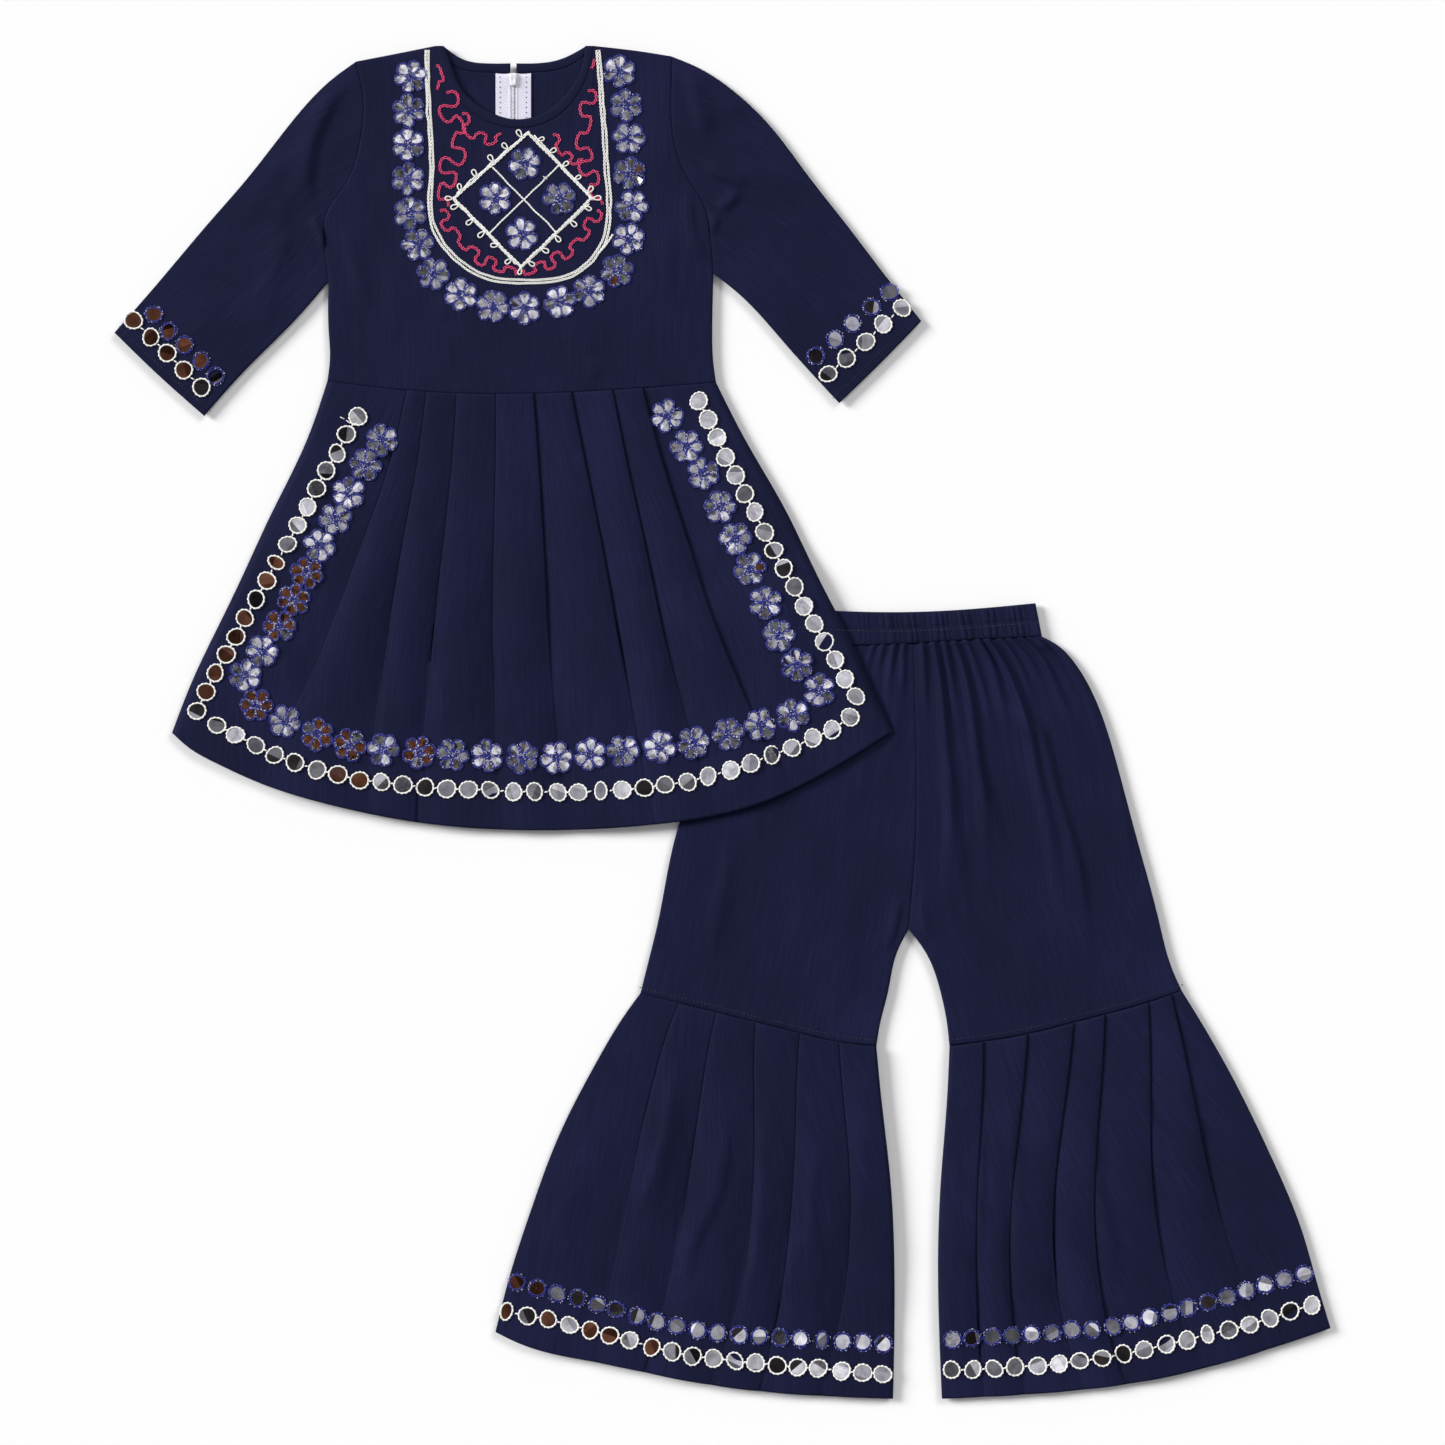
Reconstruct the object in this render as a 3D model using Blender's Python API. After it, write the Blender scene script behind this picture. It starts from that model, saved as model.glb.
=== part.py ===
"""A young child's sharara suit, laid flat: an embroidered kurti lying over the top of a sharara.

The cloth lies in the XY plane, collar towards +Y, with its underside at z = 0.
Plan sizes below are millimetres from the middle of the whole suit.
Each piece of cloth is a wall that follows a section line: the section runs across the piece,
one for each row from top to bottom, and its plan place is blended between the piece's four edges.
"""
import bisect
import math

import bmesh
import bpy
import numpy as np

MM = 0.001

# Cloth
WALL = 1.2
GAP = 0.3
SEAM = GAP / 2
LAYER = WALL + GAP
FRONT = LAYER + WALL / 2
BACK = WALL / 2
FOLD_RADIUS = LAYER / 2
SHARPEST_MITRE = 0.8

# A pleat's fold. It turns right under while pressed, opens over OPENING of the panel's height, and
# ends as a soft step that leans by PRESSED / 2 - STEP_LEAN.
PRESSED = math.pi
OPENING = 0.16
STEP_LEAN = math.radians(58)
SHORTEST_TUCK = 1.0
LEAD_IN = 1.5
LEAD_OUT = 1.0

# Waistband, thicker for the elastic inside it; its ribs sink to BAND_CHANNEL of their height at the
# row of stitches along its middle
BAND_WALL = 1.6
BAND_RIBS = 38
BAND_RIB_HEIGHT = 0.6
BAND_CHANNEL = 0.25

# The kurti rises this far to lie over the waistband; the rise starts and ends at these shares.
# What lies under it stays flat, and its relief grows over CLEAR_REACH outside the kurti's edge.
OVERLAP_LIFT = 3.9
LIFT_ACROSS = (0.57, 0.69)
LIFT_DOWN = (0.45, 0.58)
HEM_BULGE = 13.0
CLEAR_REACH = 40.0

# Neck and zip
ZIP_LOFT = 1.6
TAPE_HALF = 13.8
TAPE_WALL = 1.0
TAPE_CROWN = 0.2
COIL_WIDTH = 2.4
COIL_THICK = 1.2
COIL_CROWN = 0.35
ZIP_X = -163.0
ZIP_TOP = 506.0
ZIP_BOTTOM = 290.0
SLIDER_SIZE = (6.4, 10.5, 2.2)
SLIDER_CROWN = 0.5
SLIDER_TAPER = 0.72
ZIP_LOFT_REACH = (0.08, 0.36)

# The back's opening over the zip: half its width, and how far down the back it runs
SLIT_HALF = 2.3
SLIT_LENGTH = 0.3

# Seam and edge lines of the kurti, from left to right or from top to bottom
SHOULDER_LEFT = [(-224, 527), (-255, 521), (-286, 515)]
SHOULDER_RIGHT = [(-100, 527), (-64, 523), (-39, 519)]
NECK_FRONT_SEAM = [(-224, 527), (-220, 514), (-211, 493), (-191, 472), (-163, 463),
                   (-135, 468), (-113, 488), (-103, 511), (-100, 527)]
NECK_FRONT_EDGE = [(-217, 527), (-213, 517), (-205, 496), (-187, 479), (-163, 470),
                   (-139, 475), (-119, 493), (-109, 513), (-107, 527)]
NECK_BACK_EDGE_LEFT = [(-217, 527), (-202, 517), (-184, 514), (-163, 514)]
NECK_BACK_SEAM_LEFT = [(-224, 527), (-208, 511), (-187, 507), (-163, 506)]
NECK_BACK_EDGE_RIGHT = [(-163, 514), (-146, 514), (-127, 517), (-107, 527)]
NECK_BACK_SEAM_RIGHT = [(-163, 506), (-143, 507), (-121, 511), (-100, 527)]
ARMHOLE_LEFT = [(-286, 515), (-280, 488), (-283, 450), (-293, 421), (-309, 396), (-310, 369), (-307, 344)]
ARMHOLE_RIGHT = [(-39, 519), (-40, 489), (-39, 461), (-29, 428), (-14, 402), (-9, 376), (-7, 350)]
SIDE_LEFT = [(-307, 344), (-307, 306), (-306, 283), (-308, 266)]
SIDE_RIGHT = [(-7, 350), (-8, 306), (-7, 279), (-5, 265)]
WAIST = [(-308, 266), (-237, 258), (-160, 256), (-85, 259), (-5, 265)]
SKIRT_LEFT = [(-308, 266), (-324, 220), (-351, 164), (-377, 108), (-395, 71), (-413, 33), (-429, -8)]
SKIRT_RIGHT = [(-5, 265), (18, 220), (50, 164), (77, 108), (96, 71), (113, 33), (132, -7)]
SKIRT_HEM = [(-429, -8), (-414, -21), (-396, -31), (-361, -47), (-314, -62), (-236, -78), (-142, -84),
             (-49, -79), (26, -64), (89, -34), (132, -7)]
SLEEVE_LEFT_TOP = [(-286, 515), (-305, 501), (-332, 473), (-369, 426), (-401, 389), (-439, 344), (-474, 304)]
SLEEVE_LEFT_UNDER = [(-307, 344), (-333, 314), (-370, 277), (-404, 239)]
CUFF_LEFT = [(-474, 304), (-440, 271), (-404, 239)]
SLEEVE_RIGHT_TOP = [(-39, 519), (-18, 510), (9, 492), (38, 464), (67, 426), (96, 389), (125, 351), (155, 313)]
SLEEVE_RIGHT_UNDER = [(-7, 350), (14, 333), (49, 295), (91, 249)]
CUFF_RIGHT = [(155, 313), (123, 280), (91, 249)]

# Seam and edge lines of the sharara
BAND_TOP = [(48, 89), (88, 87), (138, 86), (188, 88), (244, 93)]
BAND_SEAM = [(50, 58), (101, 60), (150, 62), (183, 64), (249, 67)]
BAND_SEAM_LEFT = [(50, 58), (101, 60), (149, 62)]
BAND_SEAM_RIGHT = [(149, 62), (183, 64), (249, 67)]
HIP_LEFT = [(50, 58), (32, 50), (12, 25), (-10, -18), (-25, -53), (-39, -98), (-50, -154), (-59, -191),
            (-64, -211)]
HIP_RIGHT = [(249, 67), (260, 61), (277, 43), (299, -4), (310, -42), (325, -98), (340, -154), (350, -191),
             (358, -209)]
CENTRE_SEAM = [(149, 62), (151, -14), (150, -105), (145, -161)]
INNER_LEFT = [(145, -161), (135, -182), (129, -210), (123, -234), (120, -252)]
INNER_RIGHT = [(145, -161), (160, -182), (170, -210), (175, -234), (177, -252)]
KNEE_LEFT = [(-64, -211), (-4, -226), (60, -242), (91, -249), (120, -252)]
KNEE_RIGHT = [(177, -252), (237, -243), (273, -234), (332, -218), (358, -209)]
FLARE_LEFT_OUTER = [(-64, -211), (-77, -229), (-99, -266), (-128, -323), (-149, -379), (-167, -435),
                    (-177, -475)]
FLARE_LEFT_INNER = [(120, -252), (124, -294), (131, -357), (134, -419), (134, -482), (133, -527)]
HEM_LEFT = [(-177, -475), (-158, -484), (-96, -499), (-33, -512), (29, -521), (133, -527)]
FLARE_RIGHT_INNER = [(177, -252), (175, -294), (170, -360), (168, -416), (171, -527)]
FLARE_RIGHT_OUTER = [(358, -209), (377, -240), (402, -285), (429, -341), (452, -397), (463, -435),
                     (474, -472)]
HEM_RIGHT = [(171, -527), (279, -520), (341, -511), (404, -495), (474, -472)]

# Where chained edges meet, as a share of the whole edge
NECK_BREAKS = [0.25, 0.75]
BACK_NECK_BREAK = 0.5
ARMHOLE_BREAK = 0.62
CROTCH_BREAK = 0.70

# Pleats, left to right. top, middle, foot: share across the panel at the seam, half way and at the
# hem. faces: +1 where the folded edge looks right, -1 left. depth: how far it is folded under at the
# seam. pressed: share of the height where the fold stops being pressed flat. wave: what is left at the hem.
PLEAT_COLUMNS = ("top", "middle", "foot", "faces", "depth", "pressed", "wave")
SKIRT_PLEATS = [
    (0.205, 0.176, 0.140, -1, 6.0, 0.52, 2.6),
    (0.256, 0.262, 0.285, -1, 8.0, 0.46, 2.0),
    (0.333, 0.338, 0.352, -1, 9.0, 0.40, 1.6),
    (0.434, 0.436, 0.466, -1, 9.0, 0.50, 2.4),
    (0.532, 0.531, 0.545, +1, 9.0, 0.36, 1.6),
    (0.629, 0.646, 0.660, +1, 9.0, 0.42, 1.4),
    (0.735, 0.722, 0.742, +1, 8.0, 0.40, 1.8),
    (0.812, 0.806, 0.850, +1, 9.0, 0.56, 2.4),
]
FLARE_LEFT_PLEATS = [
    (0.162, 0.240, 0.262, -1, 8.0, 0.34, 2.0),
    (0.323, 0.402, 0.392, -1, 8.0, 0.40, 2.6),
    (0.489, 0.592, 0.560, -1, 8.0, 0.48, 3.0),
    (0.677, 0.705, 0.680, -1, 8.0, 0.62, 2.4),
    (0.843, 0.876, 0.830, -1, 8.0, 0.50, 2.2),
]
FLARE_RIGHT_PLEATS = [
    (0.143, 0.111, 0.100, +1, 8.0, 0.66, 2.2),
    (0.329, 0.212, 0.204, +1, 8.0, 0.70, 1.8),
    (0.529, 0.340, 0.352, +1, 8.0, 0.44, 1.8),
    (0.663, 0.462, 0.462, +1, 9.0, 0.74, 3.0),
    (0.853, 0.640, 0.655, +1, 8.0, 0.44, 2.0),
    (0.952, 0.812, 0.830, +1, 7.0, 0.34, 1.6),
]

# Gathers under the waistband. top, foot: share across at the band and where it dies out. length:
# share of the thigh's height. height: how far the ridge stands up, in millimetres. RIDGE_ROOM
# lifts the panel a little, since a valley's corner reaches lower than the flat wall beside it.
# A ridge keeps its full height over GATHER_HOLD of its length.
RIDGE_ROOM = 0.15
GATHER_HOLD = 0.25
GATHER_COLUMNS = ("top", "foot", "length", "height")
THIGH_LEFT_GATHERS = [
    (0.06, 0.10, 0.22, 1.6), (0.14, 0.17, 0.16, 1.2), (0.21, 0.22, 0.30, 1.6), (0.29, 0.33, 0.24, 1.2),
    (0.36, 0.42, 0.62, 1.6), (0.44, 0.47, 0.20, 1.4), (0.52, 0.56, 0.34, 1.8), (0.60, 0.62, 0.26, 1.4),
    (0.68, 0.70, 0.52, 2.2), (0.76, 0.77, 0.30, 1.6), (0.84, 0.84, 0.40, 2.2), (0.92, 0.91, 0.24, 1.6),
]
THIGH_RIGHT_GATHERS = [
    (0.06, 0.08, 0.24, 1.6), (0.15, 0.17, 0.76, 2.2), (0.23, 0.25, 0.30, 1.6), (0.31, 0.34, 0.68, 2.4),
    (0.40, 0.43, 0.28, 1.6), (0.49, 0.53, 0.30, 2.0), (0.57, 0.66, 0.90, 3.0), (0.66, 0.72, 0.26, 1.4),
    (0.74, 0.78, 0.22, 1.6), (0.82, 0.86, 0.34, 1.8), (0.90, 0.93, 0.20, 1.4), (0.96, 0.97, 0.46, 1.4),
]

# Soft creases. Each runs from one place to another on its piece, in shares across and down. They
# fade out over SLEEVE_MARGIN beside a sleeve's edges and over BODICE_MARGIN at the bodice's ends.
SLEEVE_MARGIN = 0.12
BODICE_MARGIN = 0.2
CREASE_COLUMNS = ("across", "down", "to_across", "to_down", "width", "height")
BODICE_CREASES = [
    (0.03, 0.46, 0.22, 0.66, 9.0, 1.4),
    (0.97, 0.46, 0.82, 0.72, 9.0, 1.4),
    (0.90, 0.52, 0.86, 0.86, 8.0, 0.9),
]
SLEEVE_LEFT_CREASES = [
    (0.16, 0.02, 0.60, 0.14, 9.0, 2.4),
    (0.62, 0.06, 0.30, 0.24, 10.0, 2.0),
    (0.86, 0.10, 0.42, 0.42, 11.0, 1.8),
    (0.40, 0.40, 0.80, 0.62, 13.0, 1.0),
]
SLEEVE_RIGHT_CREASES = [
    (0.10, 0.06, 0.44, 0.16, 9.0, 2.0),
    (0.40, 0.20, 0.80, 0.08, 9.0, 2.4),
    (0.72, 0.20, 0.92, 0.08, 8.0, 2.4),
    (0.55, 0.36, 0.70, 0.60, 12.0, 1.0),
]

# The half turn at a flattened tube's edge stops at these angles, in degrees, between its ends
TURN_STOPS = [60.0, 120.0]

# Columns of the plain undersides
BAND_BACK_COLUMNS = 6
THIGH_BACK_COLUMNS = 7
FLARE_BACK_COLUMNS = 8

# Columns of the skirt between its pleats, as shares across. The two ends of the kurti's rise are
# columns of the front and the back alike, so the two layers bend together.
SKIRT_PLAIN = [0.05, 0.10, 0.754, 0.90, 0.95]
SKIRT_BACK_COLUMNS = sorted([0.0, 0.20, 0.30, 0.40, 0.50, 1.0] + SKIRT_PLAIN + list(LIFT_ACROSS))

# Rows from top to bottom
SKIRT_ROWS = [0.0, 0.10, 0.24, 0.36, 0.45, 0.58, 0.70, 0.84, 1.0]
FLARE_ROWS = [0.0, 0.12, 0.32, 0.50, 0.66, 0.82, 1.0]
THIGH_ROWS = [0.0, 0.07, 0.16, 0.28, 0.42, 0.56, 0.70, 0.78, 0.89, 1.0]
SLEEVE_ROWS = [0.0, 0.08, 0.18, 0.30, 0.44, 0.60, 0.80, 1.0]
ARMHOLE_STEPS = 8
SIDE_STEPS = 4
NECK_STEPS = 10
BACK_NECK_STEPS = 5
SHOULDER_STEPS = 3


def linear(colour):
    """An sRGB hex colour turned to linear light."""
    parts = [int(colour[i:i + 2], 16) / 255 for i in (1, 3, 5)]
    return [p / 12.92 if p <= 0.04045 else ((p + 0.055) / 1.055) ** 2.4 for p in parts] + [1.0]


def material(name, colour, roughness, metallic=0.0):
    made = bpy.data.materials.new(name)
    made.use_nodes = True
    shader = made.node_tree.nodes["Principled BSDF"]
    shader.inputs["Base Color"].default_value = linear(colour)
    shader.inputs["Roughness"].default_value = roughness
    shader.inputs["Metallic"].default_value = metallic
    made.diffuse_color = linear(colour)
    return made


def smooth_line(points):
    """A smooth curve through a few points: a natural cubic spline over chord length."""
    points = np.array(points, float)
    count = len(points)
    knots = np.concatenate([[0.0], np.cumsum(np.linalg.norm(np.diff(points, axis=0), axis=1))])
    knots /= knots[-1]
    steps = np.diff(knots)
    system = np.eye(count)
    known = np.zeros((count, 2))
    for i in range(1, count - 1):
        system[i, i - 1:i + 2] = steps[i - 1], 2 * (steps[i - 1] + steps[i]), steps[i]
        known[i] = 6 * ((points[i + 1] - points[i]) / steps[i] - (points[i] - points[i - 1]) / steps[i - 1])
    bends = np.linalg.solve(system, known)

    def at(share):
        share = np.clip(np.asarray(share, float), 0.0, 1.0)
        i = np.clip(np.searchsorted(knots, share, side="right") - 1, 0, count - 2)
        step = steps[i][..., None]
        before = (knots[i + 1] - share)[..., None] / step
        after = 1 - before
        bend = (before ** 3 - before) * bends[i] + (after ** 3 - after) * bends[i + 1]
        return before * points[i] + after * points[i + 1] + bend * step ** 2 / 6

    return at


def chained(lines, breaks):
    """Curves end to end as one edge; breaks are the shares where one ends and the next begins."""
    ends = [0.0] + list(breaks) + [1.0]
    curves = [smooth_line(line) for line in lines]

    def at(share):
        share = np.clip(np.asarray(share, float), 0.0, 1.0)
        spot = np.zeros(share.shape + (2,))
        for curve, low, high in zip(curves, ends[:-1], ends[1:]):
            inside = (share >= low) & (share <= high)
            spot[inside] = curve((share[inside] - low) / (high - low))
        return spot

    return at


class Panel:
    """A piece of cloth in plan, blended between its four edges."""

    def __init__(self, top, bottom, left, right):
        self.top, self.bottom, self.left, self.right = top, bottom, left, right

    def at(self, across, down):
        """Plan place at shares across and down: the two pairs of edges blended, less their corners."""
        across, down = np.broadcast_arrays(np.asarray(across, float), np.asarray(down, float))
        s = across[..., None]
        v = down[..., None]
        between_rows = (1 - v) * self.top(across) + v * self.bottom(across)
        between_sides = (1 - s) * self.left(down) + s * self.right(down)
        corners = (1 - v) * ((1 - s) * self.top(0.0) + s * self.top(1.0))
        corners = corners + v * ((1 - s) * self.bottom(0.0) + s * self.bottom(1.0))
        return between_rows + between_sides - corners

    def width(self, down):
        return float(np.linalg.norm(self.at(1.0, down) - self.at(0.0, down)))

    def height(self):
        return float(np.linalg.norm(self.at(0.5, 1.0) - self.at(0.5, 0.0)))

    def rows(self, shares):
        """The rows' shares, with the first and last drawn in by half a seam gap."""
        edge = SEAM / self.height()
        return [min(max(share, edge), 1 - edge) for share in shares]


def offset_line(line, distance, closed):
    """A section line moved sideways by a distance, with mitred corners, so that a wall keeps its thickness."""
    ahead = np.roll(line, -1, axis=0) - line
    behind = line - np.roll(line, 1, axis=0)
    if not closed:
        ahead[-1] = behind[-1]
        behind[0] = ahead[0]
    ahead /= np.linalg.norm(ahead, axis=1)[:, None]
    behind /= np.linalg.norm(behind, axis=1)[:, None]
    way = ahead + behind
    way /= np.linalg.norm(way, axis=1)[:, None]
    mitre = 1 / np.maximum((way * ahead).sum(axis=1), SHARPEST_MITRE)
    normal = np.stack([-way[:, 1], way[:, 0]], axis=1)
    return line + normal * (distance * mitre)[:, None]


def add_solid(name, look, points, faces):
    """A named object from points in millimetres and faces, with its faces turned outwards."""
    mesh = bpy.data.meshes.new(name)
    mesh.from_pydata([tuple(p) for p in np.asarray(points) * MM], [], faces)
    shape = bmesh.new()
    shape.from_mesh(mesh)
    bmesh.ops.triangulate(shape, faces=shape.faces)
    if shape.calc_volume(signed=True) < 0:
        bmesh.ops.reverse_faces(shape, faces=shape.faces)
    shape.to_mesh(mesh)
    shape.free()
    mesh.materials.append(look)
    made = bpy.data.objects.new(name, mesh)
    bpy.context.scene.collection.objects.link(made)
    return made


def grid_faces(rows, columns, start, closed):
    """Quads over a grid of points, wrapped round on itself where the section is closed."""
    faces = []
    for row in range(rows - 1):
        for column in range(columns if closed else columns - 1):
            beside = (column + 1) % columns
            low = start + row * columns
            high = low + columns
            faces.append((low + column, low + beside, high + beside, high + column))
    return faces


def cloth(name, look, panel, row_shares, section, lift=None, closed=False, wall=WALL, ease=None):
    """A wall of cloth. section(down, width) gives one row's line of distances across and heights.

    lift(across, down) raises the whole wall, and ease(plan) scales what stands above the lowest height.
    """
    downs = panel.rows(row_shares)
    layers = []
    for side in (wall / 2, -wall / 2):
        sheet = []
        for down in downs:
            width = panel.width(down)
            line = np.array(section(down, width), float)
            if ease is not None:
                plan = panel.at(line[:, 0] / width, down)
                lowest = line[:, 1].min()
                line[:, 1] = lowest + (line[:, 1] - lowest) * ease(plan)
            moved = offset_line(line, side, closed)
            across = moved[:, 0] / width
            height = moved[:, 1]
            if lift is not None:
                height = height + lift(line[:, 0] / width, down)
            plan = panel.at(across, down)
            sheet.append(np.column_stack([plan, height]))
        layers.append(np.concatenate(sheet))
    rows = len(downs)
    columns = len(layers[0]) // rows
    inner = rows * columns
    faces = grid_faces(rows, columns, 0, closed)
    faces += [tuple(reversed(face)) for face in grid_faces(rows, columns, inner, closed)]
    last = (rows - 1) * columns
    for column in range(columns if closed else columns - 1):
        beside = (column + 1) % columns
        faces.append((column, inner + column, inner + beside, beside))
        faces.append((last + column, last + beside, inner + last + beside, inner + last + column))
    if not closed:
        for row in range(rows - 1):
            for column in (0, columns - 1):
                low = row * columns + column
                high = low + columns
                face = (low, high, inner + high, inner + low)
                faces.append(face if column == 0 else tuple(reversed(face)))
    return add_solid(name, look, np.concatenate(layers), faces)


def blend(value, low, high):
    """0 below low, 1 above high and a straight rise between."""
    return np.clip((value - low) / (high - low), 0.0, 1.0)


def eased(value, low, high):
    """0 below low, 1 above high and a smooth rise between."""
    share = blend(value, low, high)
    return share * share * (3 - 2 * share)


def overlap_lift(across, down):
    """The kurti's rise over the sharara's waist: a straight ramp across times a straight ramp down."""
    return OVERLAP_LIFT * blend(across, *LIFT_ACROSS) * blend(down, *LIFT_DOWN)


def beyond(plan, start, end):
    """How far places lie to the left of the straight line from start to end, in millimetres."""
    along = np.array(end, float) - np.array(start, float)
    along /= np.linalg.norm(along)
    return (plan - np.array(start, float)) @ np.array([-along[1], along[0]])


def clear_of_kurti(plan):
    """0 under the kurti's corner and 1 well outside it, for relief that must stay flat beneath it."""
    side_start, corner = SKIRT_RIGHT[2], SKIRT_RIGHT[-1]
    hem_start = SKIRT_HEM[-4]
    outside_side = beyond(plan, side_start, corner)
    outside_hem = -beyond(plan, hem_start, corner) - HEM_BULGE
    return np.clip(np.maximum(outside_side, outside_hem) / CLEAR_REACH, 0.0, 1.0)


def across_at(row, down):
    """A pleat's share across at a row: a curve through its top, middle and foot."""
    top, middle, foot = row["top"], row["middle"], row["foot"]
    return top * (1 - down) * (1 - 2 * down) + 4 * middle * down * (1 - down) + foot * down * (2 * down - 1)


def pleat_line(pleat, down, width, low):
    """A knife pleat's section: over the top, round the folded edge, back under it and out again.

    Down the panel the tuck gets shorter, then the fold opens until it is a soft step.
    """
    opened = blend(down, pleat["pressed"], pleat["pressed"] + OPENING)
    softened = blend(down, pleat["pressed"] + OPENING, 1.0)
    turn = PRESSED * (1 - 0.5 * opened) - STEP_LEAN * softened
    tuck = pleat["depth"] * (1 - blend(down, 0.0, pleat["pressed"])) + SHORTEST_TUCK
    tuck = tuck + pleat["wave"] * softened
    turns = np.linspace(0.0, turn, 4)
    first = np.column_stack([np.sin(turns), np.cos(turns) - 1]) * FOLD_RADIUS
    back_turns = turns[::-1]
    second = np.column_stack([math.sin(turn) - np.sin(back_turns), math.cos(turn) - np.cos(back_turns)])
    second = second * FOLD_RADIUS + first[-1] + tuck * np.array([math.cos(turn), -math.sin(turn)])
    line = np.concatenate([first, second])
    line[:, 1] += low - line[-1, 1]
    before = (line[:, 0].min() - LEAD_IN, line[0, 1])
    after = (line[:, 0].max() + LEAD_OUT, low)
    line = np.concatenate([[before], line, [after]])
    line[:, 0] -= FOLD_RADIUS * math.sin(min(turn, math.pi / 2)) + WALL / 2
    if pleat["faces"] < 0:
        line = line[::-1] * np.array([-1.0, 1.0])
    line[:, 0] += across_at(pleat, down) * width
    return line


def pleated_section(table, low, edge, between=None):
    """The section of a pleated panel: its pleats in order, and plain columns in the gaps between them.

    edge is how far the line stops short of the panel's sides, in millimetres. between gives, for a
    gap's number from the left, the shares across of the columns in it.
    """
    pleats = [dict(zip(PLEAT_COLUMNS, row)) for row in table]
    between = between or {}

    def section(down, width):
        spans = [pleat_line(pleat, down, width, low) for pleat in pleats]
        start = np.array([(edge, spans[0][0, 1])])
        end = np.array([(width - edge, spans[-1][-1, 1])])
        spans = [start] + spans + [end]
        parts = [spans[0]]
        for gap, (here, there) in enumerate(zip(spans, spans[1:])):
            plain = np.array(between.get(gap, [])) * width
            heights = np.interp(plain, (here[-1, 0], there[0, 0]), (here[-1, 1], there[0, 1]))
            parts += [np.column_stack([plain, heights]), there]
        return np.concatenate(parts)

    return section


def gathered_section(table, low):
    """The section of a gathered panel: a ridge at each gather and a valley between each pair."""
    gathers = [dict(zip(GATHER_COLUMNS, row)) for row in table]

    def section(down, width):
        spots = []
        for gather in gathers:
            share = gather["top"] + (gather["foot"] - gather["top"]) * down
            fade = 1 - eased(down, GATHER_HOLD * gather["length"], gather["length"])
            spots.append((share * width, low + gather["height"] * fade))
        line = [(SEAM, low)]
        for here, there in zip(spots, spots[1:] + [None]):
            line.append(here)
            if there is not None:
                line.append(((here[0] + there[0]) / 2, low))
        line.append((width - SEAM, low))
        return line

    return section


def creased_heights(table, panel, across, down):
    """How far soft creases lift the cloth: a rounded ridge about each crease's own line."""
    plan = panel.at(across, down)
    height = np.zeros(plan.shape[:-1])
    for row in table:
        crease = dict(zip(CREASE_COLUMNS, row))
        start = panel.at(crease["across"], crease["down"])
        end = panel.at(crease["to_across"], crease["to_down"])
        along = end - start
        share = np.clip(((plan - start) @ along) / (along @ along), 0.0, 1.0)
        away = np.linalg.norm(plan - start - share[..., None] * along, axis=-1)
        height = height + crease["height"] * np.exp(-(away / crease["width"]) ** 2)
    return height


def plain_section(shares, low):
    """A flat section with columns at the given shares across."""

    def section(down, width):
        edge = SEAM / width
        return [(min(max(share, edge), 1 - edge) * width, low) for share in shares]

    return section


def tube_edge(wall, layer):
    """How far a flattened tube's middle line stays inside its outline."""
    return wall / 2 + layer / 2


def ringed(front, back_columns, wall, layer):
    """A flattened tube's section: the front from left to right, a half turn, the back and a half turn."""
    back_shares = [i / back_columns for i in range(back_columns, -1, -1)]
    radius = layer / 2
    inset = tube_edge(wall, layer)
    turns = np.radians(TURN_STOPS)

    def section(down, width):
        line = np.array(front(down, width), float)
        right = np.column_stack([width - inset + radius * np.sin(turns), wall / 2 + radius * (1 + np.cos(turns))])
        back = np.array([(inset + share * (width - 2 * inset), wall / 2) for share in back_shares])
        left = np.column_stack([inset - radius * np.sin(turns), wall / 2 + radius * (1 - np.cos(turns))])
        return np.concatenate([line, right, back, left])

    return section


def sleeve(name, look, panel, creases):
    """A sleeve folded flat into a tube, creased at the underarm."""
    inset = tube_edge(WALL, LAYER)
    steps = [i / ARMHOLE_STEPS for i in range(ARMHOLE_STEPS + 1)]

    def front(down, width):
        across = np.array([min(max(step, inset / width), 1 - inset / width) for step in steps])
        inside = eased(np.minimum(across, 1 - across), inset / width, SLEEVE_MARGIN)
        height = FRONT + creased_heights(creases, panel, across, down) * inside
        return np.column_stack([across * width, height])

    return cloth(name, look, panel, SLEEVE_ROWS, ringed(front, ARMHOLE_STEPS, WALL, LAYER), closed=True)


def bodice_panel():
    top = chained([SHOULDER_LEFT[::-1], NECK_FRONT_SEAM, SHOULDER_RIGHT], NECK_BREAKS)
    left = chained([ARMHOLE_LEFT, SIDE_LEFT], [ARMHOLE_BREAK])
    right = chained([ARMHOLE_RIGHT, SIDE_RIGHT], [ARMHOLE_BREAK])
    return Panel(top, smooth_line(WAIST), left, right)


def bodice_rows():
    armhole = [ARMHOLE_BREAK * i / ARMHOLE_STEPS for i in range(ARMHOLE_STEPS)]
    side = [ARMHOLE_BREAK + (1 - ARMHOLE_BREAK) * i / SIDE_STEPS for i in range(SIDE_STEPS + 1)]
    return armhole + side


def zip_loft(across):
    """The front bodice's rise over the zip, widest at the middle."""
    return ZIP_LOFT * eased(0.5 - abs(across - 0.5), *ZIP_LOFT_REACH)


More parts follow.
